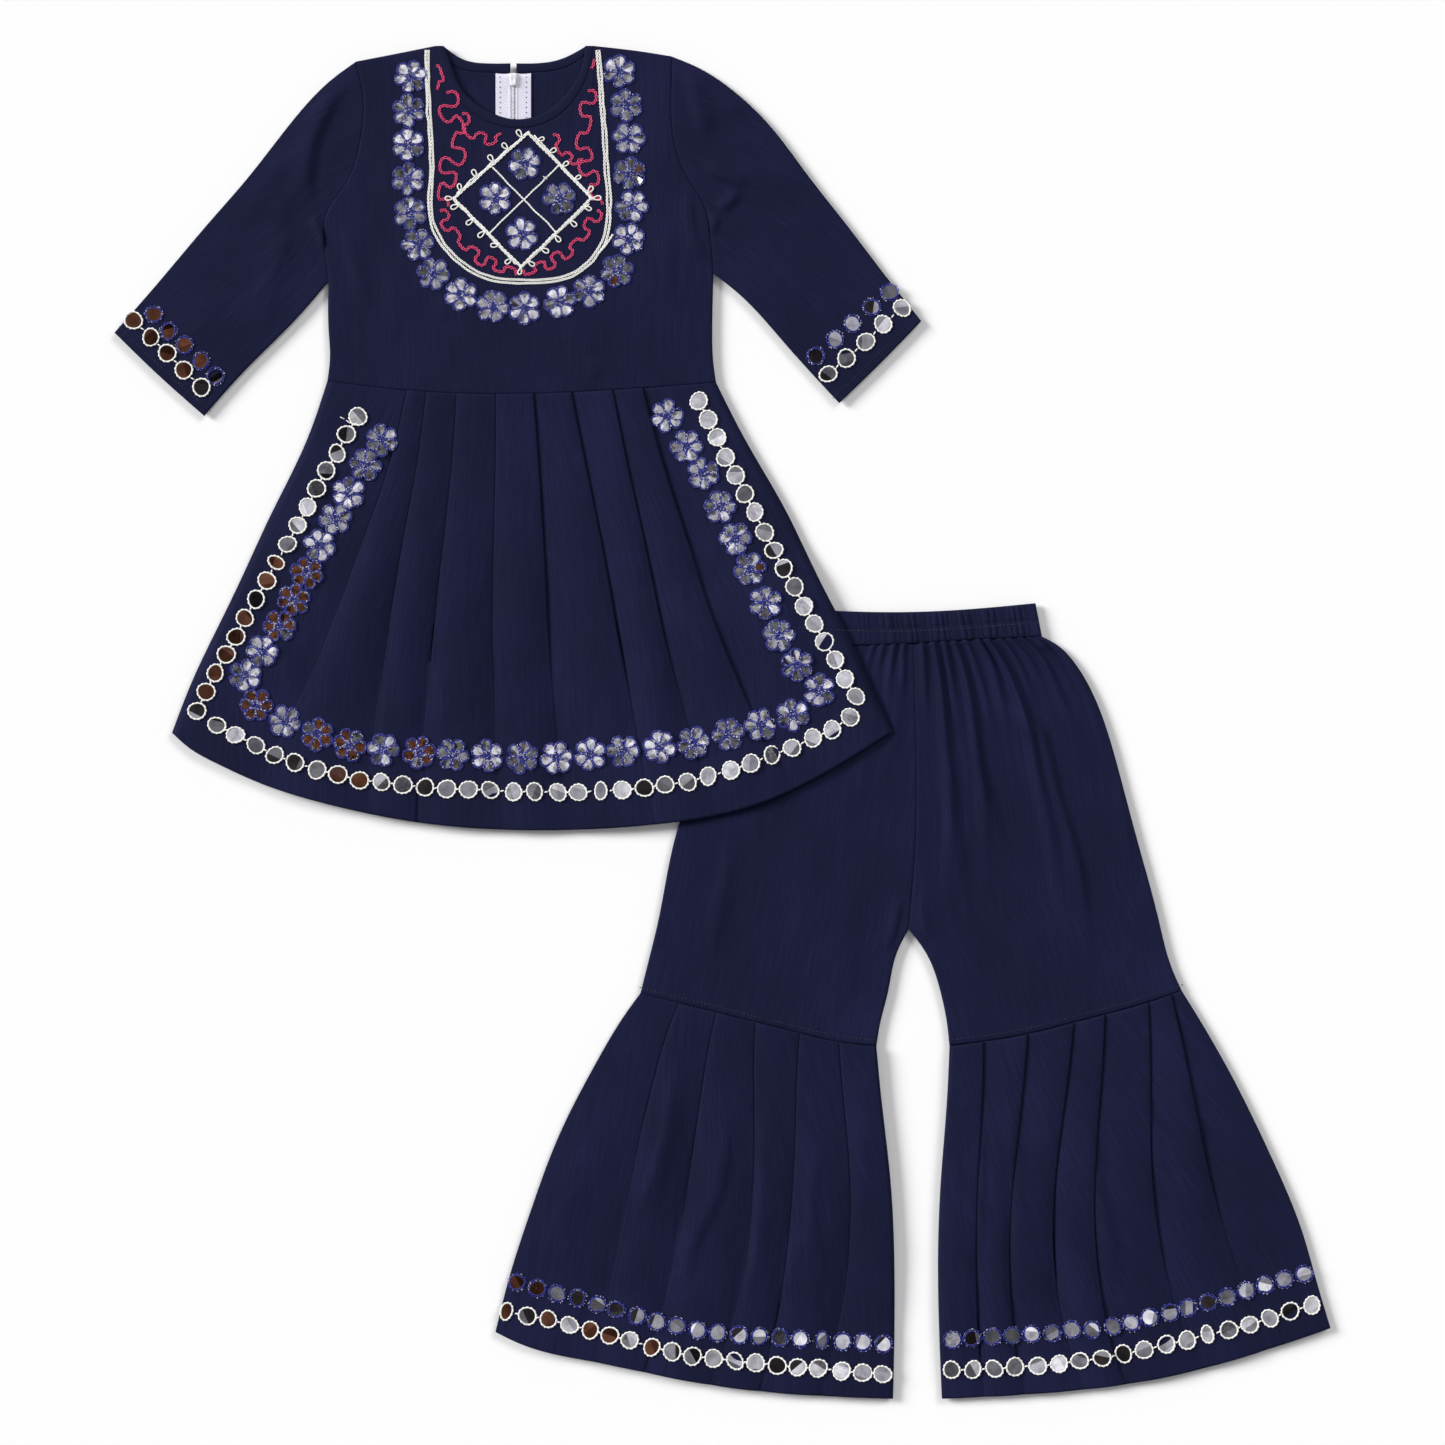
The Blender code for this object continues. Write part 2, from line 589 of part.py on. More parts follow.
def bodice_front(look):
    panel = bodice_panel()
    low, high = NECK_BREAKS
    shares = [low * i / SHOULDER_STEPS for i in range(SHOULDER_STEPS)]
    shares += [low + (high - low) * i / NECK_STEPS for i in range(NECK_STEPS)]
    shares += [high + (1 - high) * i / SHOULDER_STEPS for i in range(SHOULDER_STEPS + 1)]

    def section(down, width):
        edge = SEAM / width
        across = np.clip(np.array(shares), edge, 1 - edge)
        raised = creased_heights(BODICE_CREASES, panel, across, down)
        raised = raised * eased(min(down, 1 - down), 0.0, BODICE_MARGIN)
        return np.column_stack([across * width, FRONT + raised + zip_loft(across)])

    return cloth("bodice_front", look, panel, bodice_rows(), section)


def waist_between(low, high):
    curve = smooth_line(WAIST)
    return lambda share: curve(low + (high - low) * np.asarray(share, float))


def bodice_back(name, look, is_left):
    """Half of the back, from its shoulder and neck seam down to the waist."""
    waist = smooth_line(WAIST)
    middle_share = float(np.interp(ZIP_X, waist(np.linspace(0, 1, 200))[:, 0], np.linspace(0, 1, 200)))
    waist_y = float(waist(middle_share)[1])
    centre = smooth_line([(ZIP_X, NECK_BACK_SEAM_LEFT[-1][1]), (ZIP_X, waist_y)])
    if is_left:
        top = chained([SHOULDER_LEFT[::-1], NECK_BACK_SEAM_LEFT], [BACK_NECK_BREAK])
        left = chained([ARMHOLE_LEFT, SIDE_LEFT], [ARMHOLE_BREAK])
        panel = Panel(top, waist_between(0.0, middle_share), left, centre)
    else:
        top = chained([NECK_BACK_SEAM_RIGHT, SHOULDER_RIGHT], [1 - BACK_NECK_BREAK])
        right = chained([ARMHOLE_RIGHT, SIDE_RIGHT], [ARMHOLE_BREAK])
        panel = Panel(top, waist_between(middle_share, 1.0), centre, right)
    shares = [BACK_NECK_BREAK * i / SHOULDER_STEPS for i in range(SHOULDER_STEPS)]
    rest = 1 - BACK_NECK_BREAK
    shares += [BACK_NECK_BREAK + rest * i / BACK_NECK_STEPS for i in range(BACK_NECK_STEPS + 1)]
    shares = shares if is_left else [1 - share for share in reversed(shares)]

    def section(down, width):
        slit = SLIT_HALF * (1 - eased(down, 0.0, SLIT_LENGTH)) + SEAM
        start = SEAM if is_left else slit
        end = width - (slit if is_left else SEAM)
        return [(min(max(share * width, start), end), BACK) for share in shares]

    return cloth(name, look, panel, bodice_rows(), section)


def binding(name, look, seam, edge, steps, height, ends):
    """A narrow strip of binding between the neck seam and the neck edge."""
    left = smooth_line([edge[0], seam[0]])
    right = smooth_line([edge[-1], seam[-1]])
    panel = Panel(smooth_line(edge), smooth_line(seam), left, right)
    shares = [i / steps for i in range(steps + 1)]

    def section(down, width):
        across = np.clip(shares, ends[0] / width, 1 - ends[1] / width)
        return np.column_stack([across * width, height(across)])

    return cloth(name, look, panel, [0.0, 1.0], section)


def front_binding_height(across):
    low, high = NECK_BREAKS
    return FRONT + zip_loft(low + (high - low) * across)


def back_height(across):
    return np.full(len(across), BACK)


def box(name, look, centre, size, crown, taper=1.0):
    """A small block with its top edges cut back by crown, and narrower at its lower end by taper."""
    x, y, z = centre
    half_x, half_y, half_z = (side / 2 for side in size)
    points = []
    for level, back in ((z - half_z, 0.0), (z + half_z - crown, 0.0), (z + half_z, crown)):
        for side_x, side_y in ((-1, -1), (1, -1), (1, 1), (-1, 1)):
            wide = half_x * (taper if side_y < 0 else 1.0) - back
            points.append((x + side_x * wide, y + side_y * (half_y - back), level))
    faces = [(3, 2, 1, 0), (8, 9, 10, 11)]
    for low in (0, 4):
        faces += [(low + i, low + (i + 1) % 4, low + 4 + (i + 1) % 4, low + 4 + i) for i in range(4)]
    return add_solid(name, look, points, faces)


def zip_fastener(tape, plastic):
    """Two tapes with the closed coil between them, and the slider at the neck."""
    middle = (ZIP_TOP + ZIP_BOTTOM) / 2
    length = ZIP_TOP - ZIP_BOTTOM
    coil_half = COIL_WIDTH / 2 + GAP
    tape_width = TAPE_HALF - coil_half
    tape_z = LAYER + TAPE_WALL / 2
    for name, side in (("zip_tape_left", -1), ("zip_tape_right", 1)):
        centre = (ZIP_X + side * (coil_half + tape_width / 2), middle, tape_z)
        box(name, tape, centre, (tape_width, length, TAPE_WALL), TAPE_CROWN)
    coil_centre = (ZIP_X, middle, LAYER + COIL_THICK / 2)
    box("zip_coil", plastic, coil_centre, (COIL_WIDTH, length, COIL_THICK), COIL_CROWN)
    slider_z = LAYER + COIL_THICK + GAP + SLIDER_SIZE[2] / 2
    slider_y = ZIP_TOP - SLIDER_SIZE[1] / 2
    box("zip_slider", plastic, (ZIP_X, slider_y, slider_z), SLIDER_SIZE, SLIDER_CROWN, SLIDER_TAPER)


def skirt_panel():
    return Panel(smooth_line(WAIST), smooth_line(SKIRT_HEM), smooth_line(SKIRT_LEFT), smooth_line(SKIRT_RIGHT))


def kurti(navy, tape, plastic):
    bodice_front(navy)
    bodice_back("bodice_back_left", navy, True)
    bodice_back("bodice_back_right", navy, False)
    cap_left = smooth_line(ARMHOLE_LEFT)
    cap_right = smooth_line(ARMHOLE_RIGHT)
    left = Panel(cap_left, smooth_line(CUFF_LEFT), smooth_line(SLEEVE_LEFT_TOP), smooth_line(SLEEVE_LEFT_UNDER))
    right = Panel(cap_right, smooth_line(CUFF_RIGHT), smooth_line(SLEEVE_RIGHT_TOP),
                  smooth_line(SLEEVE_RIGHT_UNDER))
    sleeve("sleeve_left", navy, left, SLEEVE_LEFT_CREASES)
    sleeve("sleeve_right", navy, right, SLEEVE_RIGHT_CREASES)
    binding("neck_binding_front", navy, NECK_FRONT_SEAM, NECK_FRONT_EDGE, NECK_STEPS,
            front_binding_height, (0.0, 0.0))
    slit = SLIT_HALF + SEAM
    binding("neck_binding_back_left", navy, NECK_BACK_SEAM_LEFT, NECK_BACK_EDGE_LEFT,
            BACK_NECK_STEPS, back_height, (0.0, slit))
    binding("neck_binding_back_right", navy, NECK_BACK_SEAM_RIGHT, NECK_BACK_EDGE_RIGHT,
            BACK_NECK_STEPS, back_height, (slit, 0.0))
    zip_fastener(tape, plastic)

    skirt = skirt_panel()
    back = plain_section(SKIRT_BACK_COLUMNS, BACK)
    cloth("skirt_back", navy, skirt, SKIRT_ROWS, back, lift=overlap_lift)
    tops = [row[0] for row in SKIRT_PLEATS]
    plain = SKIRT_PLAIN + list(LIFT_ACROSS)
    between = {gap: [] for gap in range(len(tops) + 1)}
    for share in sorted(plain):
        between[bisect.bisect(tops, share)].append(share)
    section = pleated_section(SKIRT_PLEATS, FRONT, SEAM, between)
    cloth("skirt_front", navy, skirt, SKIRT_ROWS, section, lift=overlap_lift)


def waistband(look):
    """The elastic casing: one flattened ring, ribbed on top where the kurti doesn't cover it."""
    layer = BAND_WALL + GAP
    inset = tube_edge(BAND_WALL, layer)
    left = smooth_line([BAND_TOP[0], BAND_SEAM[0]])
    right = smooth_line([BAND_TOP[-1], BAND_SEAM[-1]])
    panel = Panel(smooth_line(BAND_TOP), smooth_line(BAND_SEAM), left, right)
    low = BAND_WALL / 2 + layer

    def front(down, width):
        across = np.linspace(inset, width - inset, 2 * BAND_RIBS + 1)
        channel = BAND_CHANNEL if abs(down - 0.5) < 0.1 else 1.0
        ridge = np.arange(2 * BAND_RIBS + 1) % 2
        raised = BAND_RIB_HEIGHT * channel * ridge * clear_of_kurti(panel.at(across / width, down))
        return np.column_stack([across, low + raised])

    section = ringed(front, BAND_BACK_COLUMNS, BAND_WALL, layer)
    cloth("waistband", look, panel, [0.0, 0.5, 1.0], section, closed=True, wall=BAND_WALL)


def sharara(navy):
    waistband(navy)
    inner_left = chained([CENTRE_SEAM, INNER_LEFT], [CROTCH_BREAK])
    inner_right = chained([CENTRE_SEAM, INNER_RIGHT], [CROTCH_BREAK])
    thighs = {
        "left": Panel(smooth_line(BAND_SEAM_LEFT), smooth_line(KNEE_LEFT), smooth_line(HIP_LEFT), inner_left),
        "right": Panel(smooth_line(BAND_SEAM_RIGHT), smooth_line(KNEE_RIGHT), inner_right, smooth_line(HIP_RIGHT)),
    }
    gathers = {"left": THIGH_LEFT_GATHERS, "right": THIGH_RIGHT_GATHERS}
    plain = [i / THIGH_BACK_COLUMNS for i in range(THIGH_BACK_COLUMNS + 1)]
    for side, panel in thighs.items():
        cloth(f"thigh_{side}_back", navy, panel, THIGH_ROWS, plain_section(plain, BACK))
        section = gathered_section(gathers[side], FRONT + RIDGE_ROOM)
        cloth(f"thigh_{side}_front", navy, panel, THIGH_ROWS, section, ease=clear_of_kurti)

    flares = {
        "left": Panel(smooth_line(KNEE_LEFT), smooth_line(HEM_LEFT), smooth_line(FLARE_LEFT_OUTER),
                      smooth_line(FLARE_LEFT_INNER)),
        "right": Panel(smooth_line(KNEE_RIGHT), smooth_line(HEM_RIGHT), smooth_line(FLARE_RIGHT_INNER),
                       smooth_line(FLARE_RIGHT_OUTER)),
    }
    pleats = {"left": FLARE_LEFT_PLEATS, "right": FLARE_RIGHT_PLEATS}
    inset = tube_edge(WALL, LAYER)
    for side, panel in flares.items():
        front = pleated_section(pleats[side], FRONT, inset)
        cloth(f"flare_{side}", navy, panel, FLARE_ROWS, ringed(front, FLARE_BACK_COLUMNS, WALL, LAYER), closed=True)


def main():
    for old in list(bpy.data.objects):
        bpy.data.objects.remove(old, do_unlink=True)
    navy = material("navy woven rayon", "#1e203b", 0.85)
    tape = material("white zip tape", "#eeecf6", 0.8)
    plastic = material("white nylon zip", "#f4f4f4", 0.4)
    kurti(navy, tape, plastic)
    sharara(navy)


main()
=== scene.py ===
"""The looks of a young child's sharara suit, laid flat: an embroidered kurti over the top of a sharara.

Every piece is worked out in millimetres in the plan of the suit, collar towards +Y, the cloth's
underside at z = 0, and is turned to metres when its mesh is made. A piece of cloth is a thin shell:
each row of it is a section line with the pleats, gathers and creases of that row, set out between
the piece's four edges. Embroidery lies on a relief, a map of the cloth's highest surface.
"""

import math

import bpy
import numpy as np
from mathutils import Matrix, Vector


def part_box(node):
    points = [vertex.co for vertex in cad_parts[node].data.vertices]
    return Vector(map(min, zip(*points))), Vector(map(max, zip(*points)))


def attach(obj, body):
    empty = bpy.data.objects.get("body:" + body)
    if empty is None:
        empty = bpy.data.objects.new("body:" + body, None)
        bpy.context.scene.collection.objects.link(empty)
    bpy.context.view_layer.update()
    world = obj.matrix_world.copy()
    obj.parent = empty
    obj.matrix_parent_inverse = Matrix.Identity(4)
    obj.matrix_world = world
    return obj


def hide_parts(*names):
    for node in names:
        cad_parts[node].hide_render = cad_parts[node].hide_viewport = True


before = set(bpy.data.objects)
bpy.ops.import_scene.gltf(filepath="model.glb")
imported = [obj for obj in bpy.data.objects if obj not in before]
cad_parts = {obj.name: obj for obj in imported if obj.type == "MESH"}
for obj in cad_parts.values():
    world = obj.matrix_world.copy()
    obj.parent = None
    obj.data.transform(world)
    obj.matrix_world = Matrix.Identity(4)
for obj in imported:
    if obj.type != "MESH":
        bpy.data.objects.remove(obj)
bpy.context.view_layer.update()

MM = 0.001

# Cloth. The shell shows a hem's thickness; its middle lines run where the solids' do.
WALL = 1.0
LAYER = 1.5
FRONT = 2.1
BACK = 0.5
FOLD_RADIUS = LAYER / 2
BAND_WALL = 1.4
BAND_LAYER = 1.9
BAND_BACK = BACK + 0.2

# The waistband's ribs: how many, points to a rib, and height; the row of stitches that pinches them
# lies at a share of the band's height and reaches a share of it to each side
BAND_RIBS = 38
RIB_STEPS = 7
RIB_HEIGHT = 1.6
PINCH = 0.52
PINCH_REACH = 0.05

# Seams sink by SEAM_DEPTH over SEAM_REACH, and each panel has a row at SEAM_SHARE of its length
# from them, so that they stay narrow.
SEAM_DEPTH = 0.32
SEAM_REACH = 1.8
SEAM_SHARE = 0.006

# Pleats
PRESSED = math.pi
OPENING = 0.16
STEP_LEAN = math.radians(74)
SHORTEST_TUCK = 1.0
FOLD_STEPS = 7
PLEAT_FADE = 0.7

# Between pleats the cloth stands up in a low arch, from ARCH_START of its height at the seam
PLEAT_ARCH = 3.4
ARCH_START = 0.2
FOLD_RISE = 1.5
GATHER_RISE = 1.7

# Painted shade, a dark line in a pleat's gap where the fold hides the cloth: how far it reaches out
# from under the fold at the seam, its value on open cloth, and how much of the colour is left in it
GAP_REACH = 2.6
OPEN_CLOTH = -3.0
PAINTED_GAP_COLOUR_LEFT = 0.22

# The kurti's rise over the waistband, as shares across and down the skirt
OVERLAP_LIFT = 3.9
LIFT_ACROSS = (0.57, 0.69)
LIFT_DOWN = (0.45, 0.58)
HEM_BULGE = 13.0
CLEAR_REACH = 40.0

# Neck and zip
ZIP_LOFT = 1.6
ZIP_LOFT_REACH = (0.08, 0.36)
ZIP_X = -163.0
TAPE_WALL = 0.5
TAPE_HEIGHT = 2.0
CORD_HEIGHT = 0.45
TOOTH_PITCH = 1.05
SLIDER_HALF_WIDTH = 3.2
SLIDER_HALF_LENGTH = 5.2
SLIDER_HEIGHT = 2.1
SLIT_HALF = 2.3
SLIT_LENGTH = 0.3

# Edges of the kurti, from left to right or from top to bottom
SHOULDER_LEFT = [(-224, 527), (-255, 521), (-286, 515)]
SHOULDER_RIGHT = [(-100, 527), (-64, 523), (-39, 519)]
NECK_FRONT_SEAM = [(-224, 527), (-220, 514), (-211, 493), (-191, 472), (-163, 463),
                   (-135, 468), (-113, 488), (-103, 511), (-100, 527)]
NECK_FRONT_EDGE = [(-217, 527), (-213, 517), (-205, 496), (-187, 479), (-163, 470),
                   (-139, 475), (-119, 493), (-109, 513), (-107, 527)]
NECK_BACK_EDGE_LEFT = [(-217, 527), (-202, 517), (-184, 514), (-163, 514)]
NECK_BACK_SEAM_LEFT = [(-224, 527), (-208, 511), (-187, 507), (-163, 506)]
NECK_BACK_EDGE_RIGHT = [(-163, 514), (-146, 514), (-127, 517), (-107, 527)]
NECK_BACK_SEAM_RIGHT = [(-163, 506), (-143, 507), (-121, 511), (-100, 527)]
ARMHOLE_LEFT = [(-286, 515), (-280, 488), (-283, 450), (-293, 421), (-309, 396), (-310, 369), (-307, 344)]
ARMHOLE_RIGHT = [(-39, 519), (-40, 489), (-39, 461), (-29, 428), (-14, 402), (-9, 376), (-7, 350)]
SIDE_LEFT = [(-307, 344), (-307, 306), (-306, 283), (-308, 266)]
SIDE_RIGHT = [(-7, 350), (-8, 306), (-7, 279), (-5, 265)]
WAIST = [(-308, 266), (-237, 258), (-160, 256), (-85, 259), (-5, 265)]
SKIRT_LEFT = [(-308, 266), (-324, 220), (-351, 164), (-377, 108), (-395, 71), (-413, 33), (-429, -8)]
SKIRT_RIGHT = [(-5, 265), (18, 220), (50, 164), (77, 108), (96, 71), (113, 33), (132, -7)]
SKIRT_HEM = [(-429, -8), (-414, -21), (-396, -31), (-361, -47), (-314, -62), (-236, -78), (-142, -84),
             (-49, -79), (26, -64), (89, -34), (132, -7)]
SLEEVE_LEFT_TOP = [(-286, 515), (-305, 501), (-332, 473), (-369, 426), (-401, 389), (-439, 344),
                   (-474, 304)]
SLEEVE_LEFT_UNDER = [(-307, 344), (-333, 314), (-370, 277), (-404, 239)]
CUFF_LEFT = [(-474, 304), (-440, 271), (-404, 239)]
SLEEVE_RIGHT_TOP = [(-39, 519), (-18, 510), (9, 492), (38, 464), (67, 426), (96, 389), (125, 351),
                    (155, 313)]
SLEEVE_RIGHT_UNDER = [(-7, 350), (14, 333), (49, 295), (91, 249)]
CUFF_RIGHT = [(155, 313), (123, 280), (91, 249)]

# Edges of the sharara
BAND_TOP = [(48, 89), (88, 87), (138, 86), (188, 88), (244, 93)]
BAND_SEAM = [(50, 58), (101, 60), (150, 62), (183, 64), (249, 67)]
BAND_SEAM_LEFT = [(50, 58), (101, 60), (149, 62)]
BAND_SEAM_RIGHT = [(149, 62), (183, 64), (249, 67)]
HIP_LEFT = [(50, 58), (32, 50), (12, 25), (-10, -18), (-25, -53), (-39, -98), (-50, -154), (-59, -191),
            (-64, -211)]
HIP_RIGHT = [(249, 67), (260, 61), (277, 43), (299, -4), (310, -42), (325, -98), (340, -154), (350, -191),
             (358, -209)]
CENTRE_SEAM = [(149, 62), (151, -14), (150, -105), (145, -161)]
INNER_LEFT = [(145, -161), (135, -182), (129, -210), (123, -234), (120, -252)]
INNER_RIGHT = [(145, -161), (160, -182), (170, -210), (175, -234), (177, -252)]
KNEE_LEFT = [(-64, -211), (-4, -226), (60, -242), (91, -249), (120, -252)]
KNEE_RIGHT = [(177, -252), (237, -243), (273, -234), (332, -218), (358, -209)]
FLARE_LEFT_OUTER = [(-64, -211), (-77, -229), (-99, -266), (-128, -323), (-149, -379), (-167, -435),
                    (-177, -475)]
FLARE_LEFT_INNER = [(120, -252), (124, -294), (131, -357), (134, -419), (134, -482), (133, -527)]
HEM_LEFT = [(-177, -475), (-158, -484), (-96, -499), (-33, -512), (29, -521), (133, -527)]
FLARE_RIGHT_INNER = [(177, -252), (175, -294), (170, -360), (168, -416), (171, -527)]
FLARE_RIGHT_OUTER = [(358, -209), (377, -240), (402, -285), (429, -341), (452, -397), (463, -435),
                     (474, -472)]
HEM_RIGHT = [(171, -527), (279, -520), (341, -511), (404, -495), (474, -472)]

# Where chained edges meet, as a share of the whole edge
NECK_BREAKS = [0.25, 0.75]
BACK_NECK_BREAK = 0.5
ARMHOLE_BREAK = 0.62
CROTCH_BREAK = 0.70

# Pleats, left to right: share across at the seam, half way and at the hem, the way the fold looks,
# its depth at the seam, the share of the height to which it is pressed, and the wave left at the hem
PLEAT_COLUMNS = ("top", "middle", "foot", "faces", "depth", "pressed", "wave")
SKIRT_PLEATS = [
    (0.205, 0.176, 0.140, -1, 6.0, 0.52, 2.6),
    (0.256, 0.262, 0.285, -1, 8.0, 0.46, 2.0),
    (0.333, 0.338, 0.352, -1, 9.0, 0.40, 1.6),
    (0.434, 0.436, 0.466, -1, 9.0, 0.50, 2.4),
    (0.532, 0.531, 0.545, +1, 9.0, 0.36, 1.6),
    (0.629, 0.646, 0.660, +1, 9.0, 0.42, 1.4),
    (0.735, 0.722, 0.742, +1, 8.0, 0.40, 1.8),
    (0.812, 0.806, 0.850, +1, 9.0, 0.56, 2.4),
]
FLARE_LEFT_PLEATS = [
    (0.162, 0.240, 0.262, -1, 8.0, 0.34, 2.0),
    (0.323, 0.402, 0.392, -1, 8.0, 0.40, 2.6),
    (0.489, 0.592, 0.560, -1, 8.0, 0.48, 3.0),
    (0.677, 0.705, 0.680, -1, 8.0, 0.62, 2.4),
    (0.843, 0.876, 0.830, -1, 8.0, 0.50, 2.2),
]
FLARE_RIGHT_PLEATS = [
    (0.143, 0.111, 0.100, +1, 8.0, 0.66, 2.2),
    (0.329, 0.212, 0.204, +1, 8.0, 0.70, 1.8),
    (0.529, 0.340, 0.352, +1, 8.0, 0.44, 1.8),
    (0.663, 0.462, 0.462, +1, 9.0, 0.74, 3.0),
    (0.853, 0.640, 0.655, +1, 8.0, 0.44, 2.0),
    (0.952, 0.812, 0.830, +1, 7.0, 0.34, 1.6),
]

# Gathers under the waistband: share across at the band and where it dies out, length as a share of
# the thigh's height, and height
GATHER_COLUMNS = ("top", "foot", "length", "height")
GATHER_HOLD = 0.25
THIGH_LEFT_GATHERS = [
    (0.06, 0.10, 0.22, 1.6), (0.14, 0.17, 0.16, 1.2), (0.21, 0.22, 0.30, 1.6), (0.29, 0.33, 0.24, 1.2),
    (0.36, 0.42, 0.62, 1.6), (0.44, 0.47, 0.20, 1.4), (0.52, 0.56, 0.34, 1.8), (0.60, 0.62, 0.26, 1.4),
    (0.68, 0.70, 0.52, 2.2), (0.76, 0.77, 0.30, 1.6), (0.84, 0.84, 0.40, 2.2), (0.92, 0.91, 0.24, 1.6),
]
THIGH_RIGHT_GATHERS = [
    (0.06, 0.08, 0.24, 1.6), (0.15, 0.17, 0.76, 2.2), (0.23, 0.25, 0.30, 1.6), (0.31, 0.34, 0.68, 2.4),
    (0.40, 0.43, 0.28, 1.6), (0.49, 0.53, 0.30, 2.0), (0.57, 0.66, 0.90, 3.0), (0.66, 0.72, 0.26, 1.4),
    (0.74, 0.78, 0.22, 1.6), (0.82, 0.86, 0.34, 1.8), (0.90, 0.93, 0.20, 1.4), (0.96, 0.97, 0.46, 1.4),
]

# Folds and creases: the crest's path in plan, its height, how far the cloth falls
# away on its left and on its right looking along the path, all in millimetres
FOLD_COLUMNS = ("path", "height", "left", "right")
SLEEVE_LEFT_FOLDS = [
    ([(-291, 503), (-316, 461), (-323, 425), (-321, 398)], 2.2, 4.0, 12.0),
    ([(-320, 396), (-313, 380), (-309, 367)], 1.6, 3.0, 3.5),
    ([(-343, 421), (-343, 376), (-338, 342)], 0.9, 8.0, 11.0),
    ([(-351, 390), (-355, 326), (-372, 296)], 0.7, 9.0, 12.0),
    ([(-326, 452), (-352, 424), (-371, 380)], 0.8, 14.0, 9.0),
    ([(-400, 340), (-408, 305), (-420, 280)], 0.6, 12.0, 16.0),
]
SLEEVE_RIGHT_FOLDS = [
    ([(-30, 511), (-22, 489), (-14, 464), (-5, 456)], 2.2, 11.0, 3.5),
    ([(-7, 500), (6, 482), (13, 470)], 1.0, 9.0, 5.0),
    ([(-16, 434), (8, 423), (22, 420)], 1.4, 6.0, 4.0),
    ([(-5, 399), (4, 404), (14, 417)], 2.0, 5.0, 3.0),
    ([(-3, 397), (-6, 390), (-7, 379)], 1.4, 3.0, 4.0),
    ([(8, 429), (39, 429), (60, 418)], 0.8, 7.0, 10.0),
    ([(20, 380), (48, 352), (70, 318)], 0.7, 12.0, 15.0),
    ([(40, 440), (64, 404), (84, 372)], 0.6, 13.0, 10.0),
]
BODICE_FOLDS = [
    ([(-27, 417), (-22, 379), (-11, 358)], 1.3, 4.0, 9.0),
    ([(-40, 389), (-42, 350), (-39, 320)], 0.8, 6.0, 9.0),
    ([(-130, 303), (-112, 298), (-93, 289)], 0.5, 5.0, 7.0),
    ([(-103, 284), (-97, 266)], 0.7, 4.0, 6.0),
    ([(-224, 331), (-213, 313)], 0.5, 5.0, 6.0),
    ([(-298, 392), (-286, 356), (-278, 318)], 1.1, 9.0, 5.0),
    ([(-262, 352), (-258, 314), (-262, 284)], 0.5, 9.0, 7.0),
    ([(-64, 318), (-60, 292), (-64, 272)], 0.4, 8.0, 7.0),
]
SKIRT_FOLDS = [
    ([(-222, 48), (-219, 22), (-213, -6)], 1.2, 7.0, 4.5),
    ([(-384, 92), (-396, 56), (-408, 16)], 0.7, 12.0, 12.0),
    ([(-298, 214), (-322, 158), (-346, 102)], 0.6, 9.0, 12.0),
    ([(-270, 22), (-268, -12), (-270, -50)], 0.7, 14.0, 16.0),
    ([(-140, 30), (-136, -10), (-134, -50)], 0.8, 16.0, 14.0),
    ([(-64, 60), (-54, 16), (-48, -32)], 0.8, 14.0, 12.0),
    ([(34, 120), (52, 74), (66, 36)], 0.7, 10.0, 13.0),
    ([(-10, 196), (6, 160), (20, 124)], 0.5, 8.0, 10.0),
]
FLARE_LEFT_FOLDS = [
    ([(-39, -258), (-47, -323), (-70, -393)], 1.4, 9.0, 3.0),
    ([(4, -300), (-6, -370), (-28, -423), (-28, -458)], 1.5, 4.0, 10.0),
    ([(30, -293), (29, -354), (24, -419), (18, -458)], 1.6, 9.0, 3.5),
    ([(73, -330), (70, -376), (72, -430)], 1.2, 4.0, 8.0),
    ([(57, -393), (52, -420), (45, -452)], 1.0, 7.0, 3.0),
    ([(-150, -392), (-96, -421), (-49, -435)], 1.0, 12.0, 12.0),
    ([(-108, -330), (-116, -370), (-132, -410)], 0.8, 10.0, 12.0),
    ([(104, -300), (108, -352), (104, -410)], 0.9, 8.0, 8.0),
]
FLARE_RIGHT_FOLDS = [
    ([(203, -300), (201, -352), (199, -429)], 1.2, 3.0, 8.0),
    ([(224, -283), (227, -352), (230, -462)], 1.2, 8.0, 4.0),
    ([(289, -308), (292, -356), (302, -408), (306, -449)], 1.8, 4.0, 11.0),
    ([(322, -277), (333, -308), (345, -361)], 1.1, 4.0, 8.0),
    ([(352, -278), (360, -296), (376, -328)], 1.2, 8.0, 4.0),
    ([(348, -212), (362, -233), (395, -283)], 1.1, 6.0, 4.0),
    ([(262, -330), (268, -392), (266, -440)], 0.9, 9.0, 9.0),
    ([(392, -330), (408, -378), (420, -420)], 0.9, 10.0, 10.0),
]
THIGH_LEFT_FOLDS = [
    ([(134, 52), (135, 10), (134, -32)], 0.9, 4.0, 6.0),
    ([(110, -20), (107, -67)], 0.5, 5.0, 5.0),
    ([(26, -67), (28, -91)], 0.5, 5.0, 5.0),
    ([(12, -84), (-4, -146), (-7, -192)], 1.3, 9.0, 6.0),
    ([(139, -132), (128, -181)], 1.2, 4.0, 5.0),
    ([(70, -60), (64, -130), (58, -190)], 0.6, 12.0, 12.0),
    ([(104, -110), (98, -160), (96, -214)], 0.6, 9.0, 12.0),
]
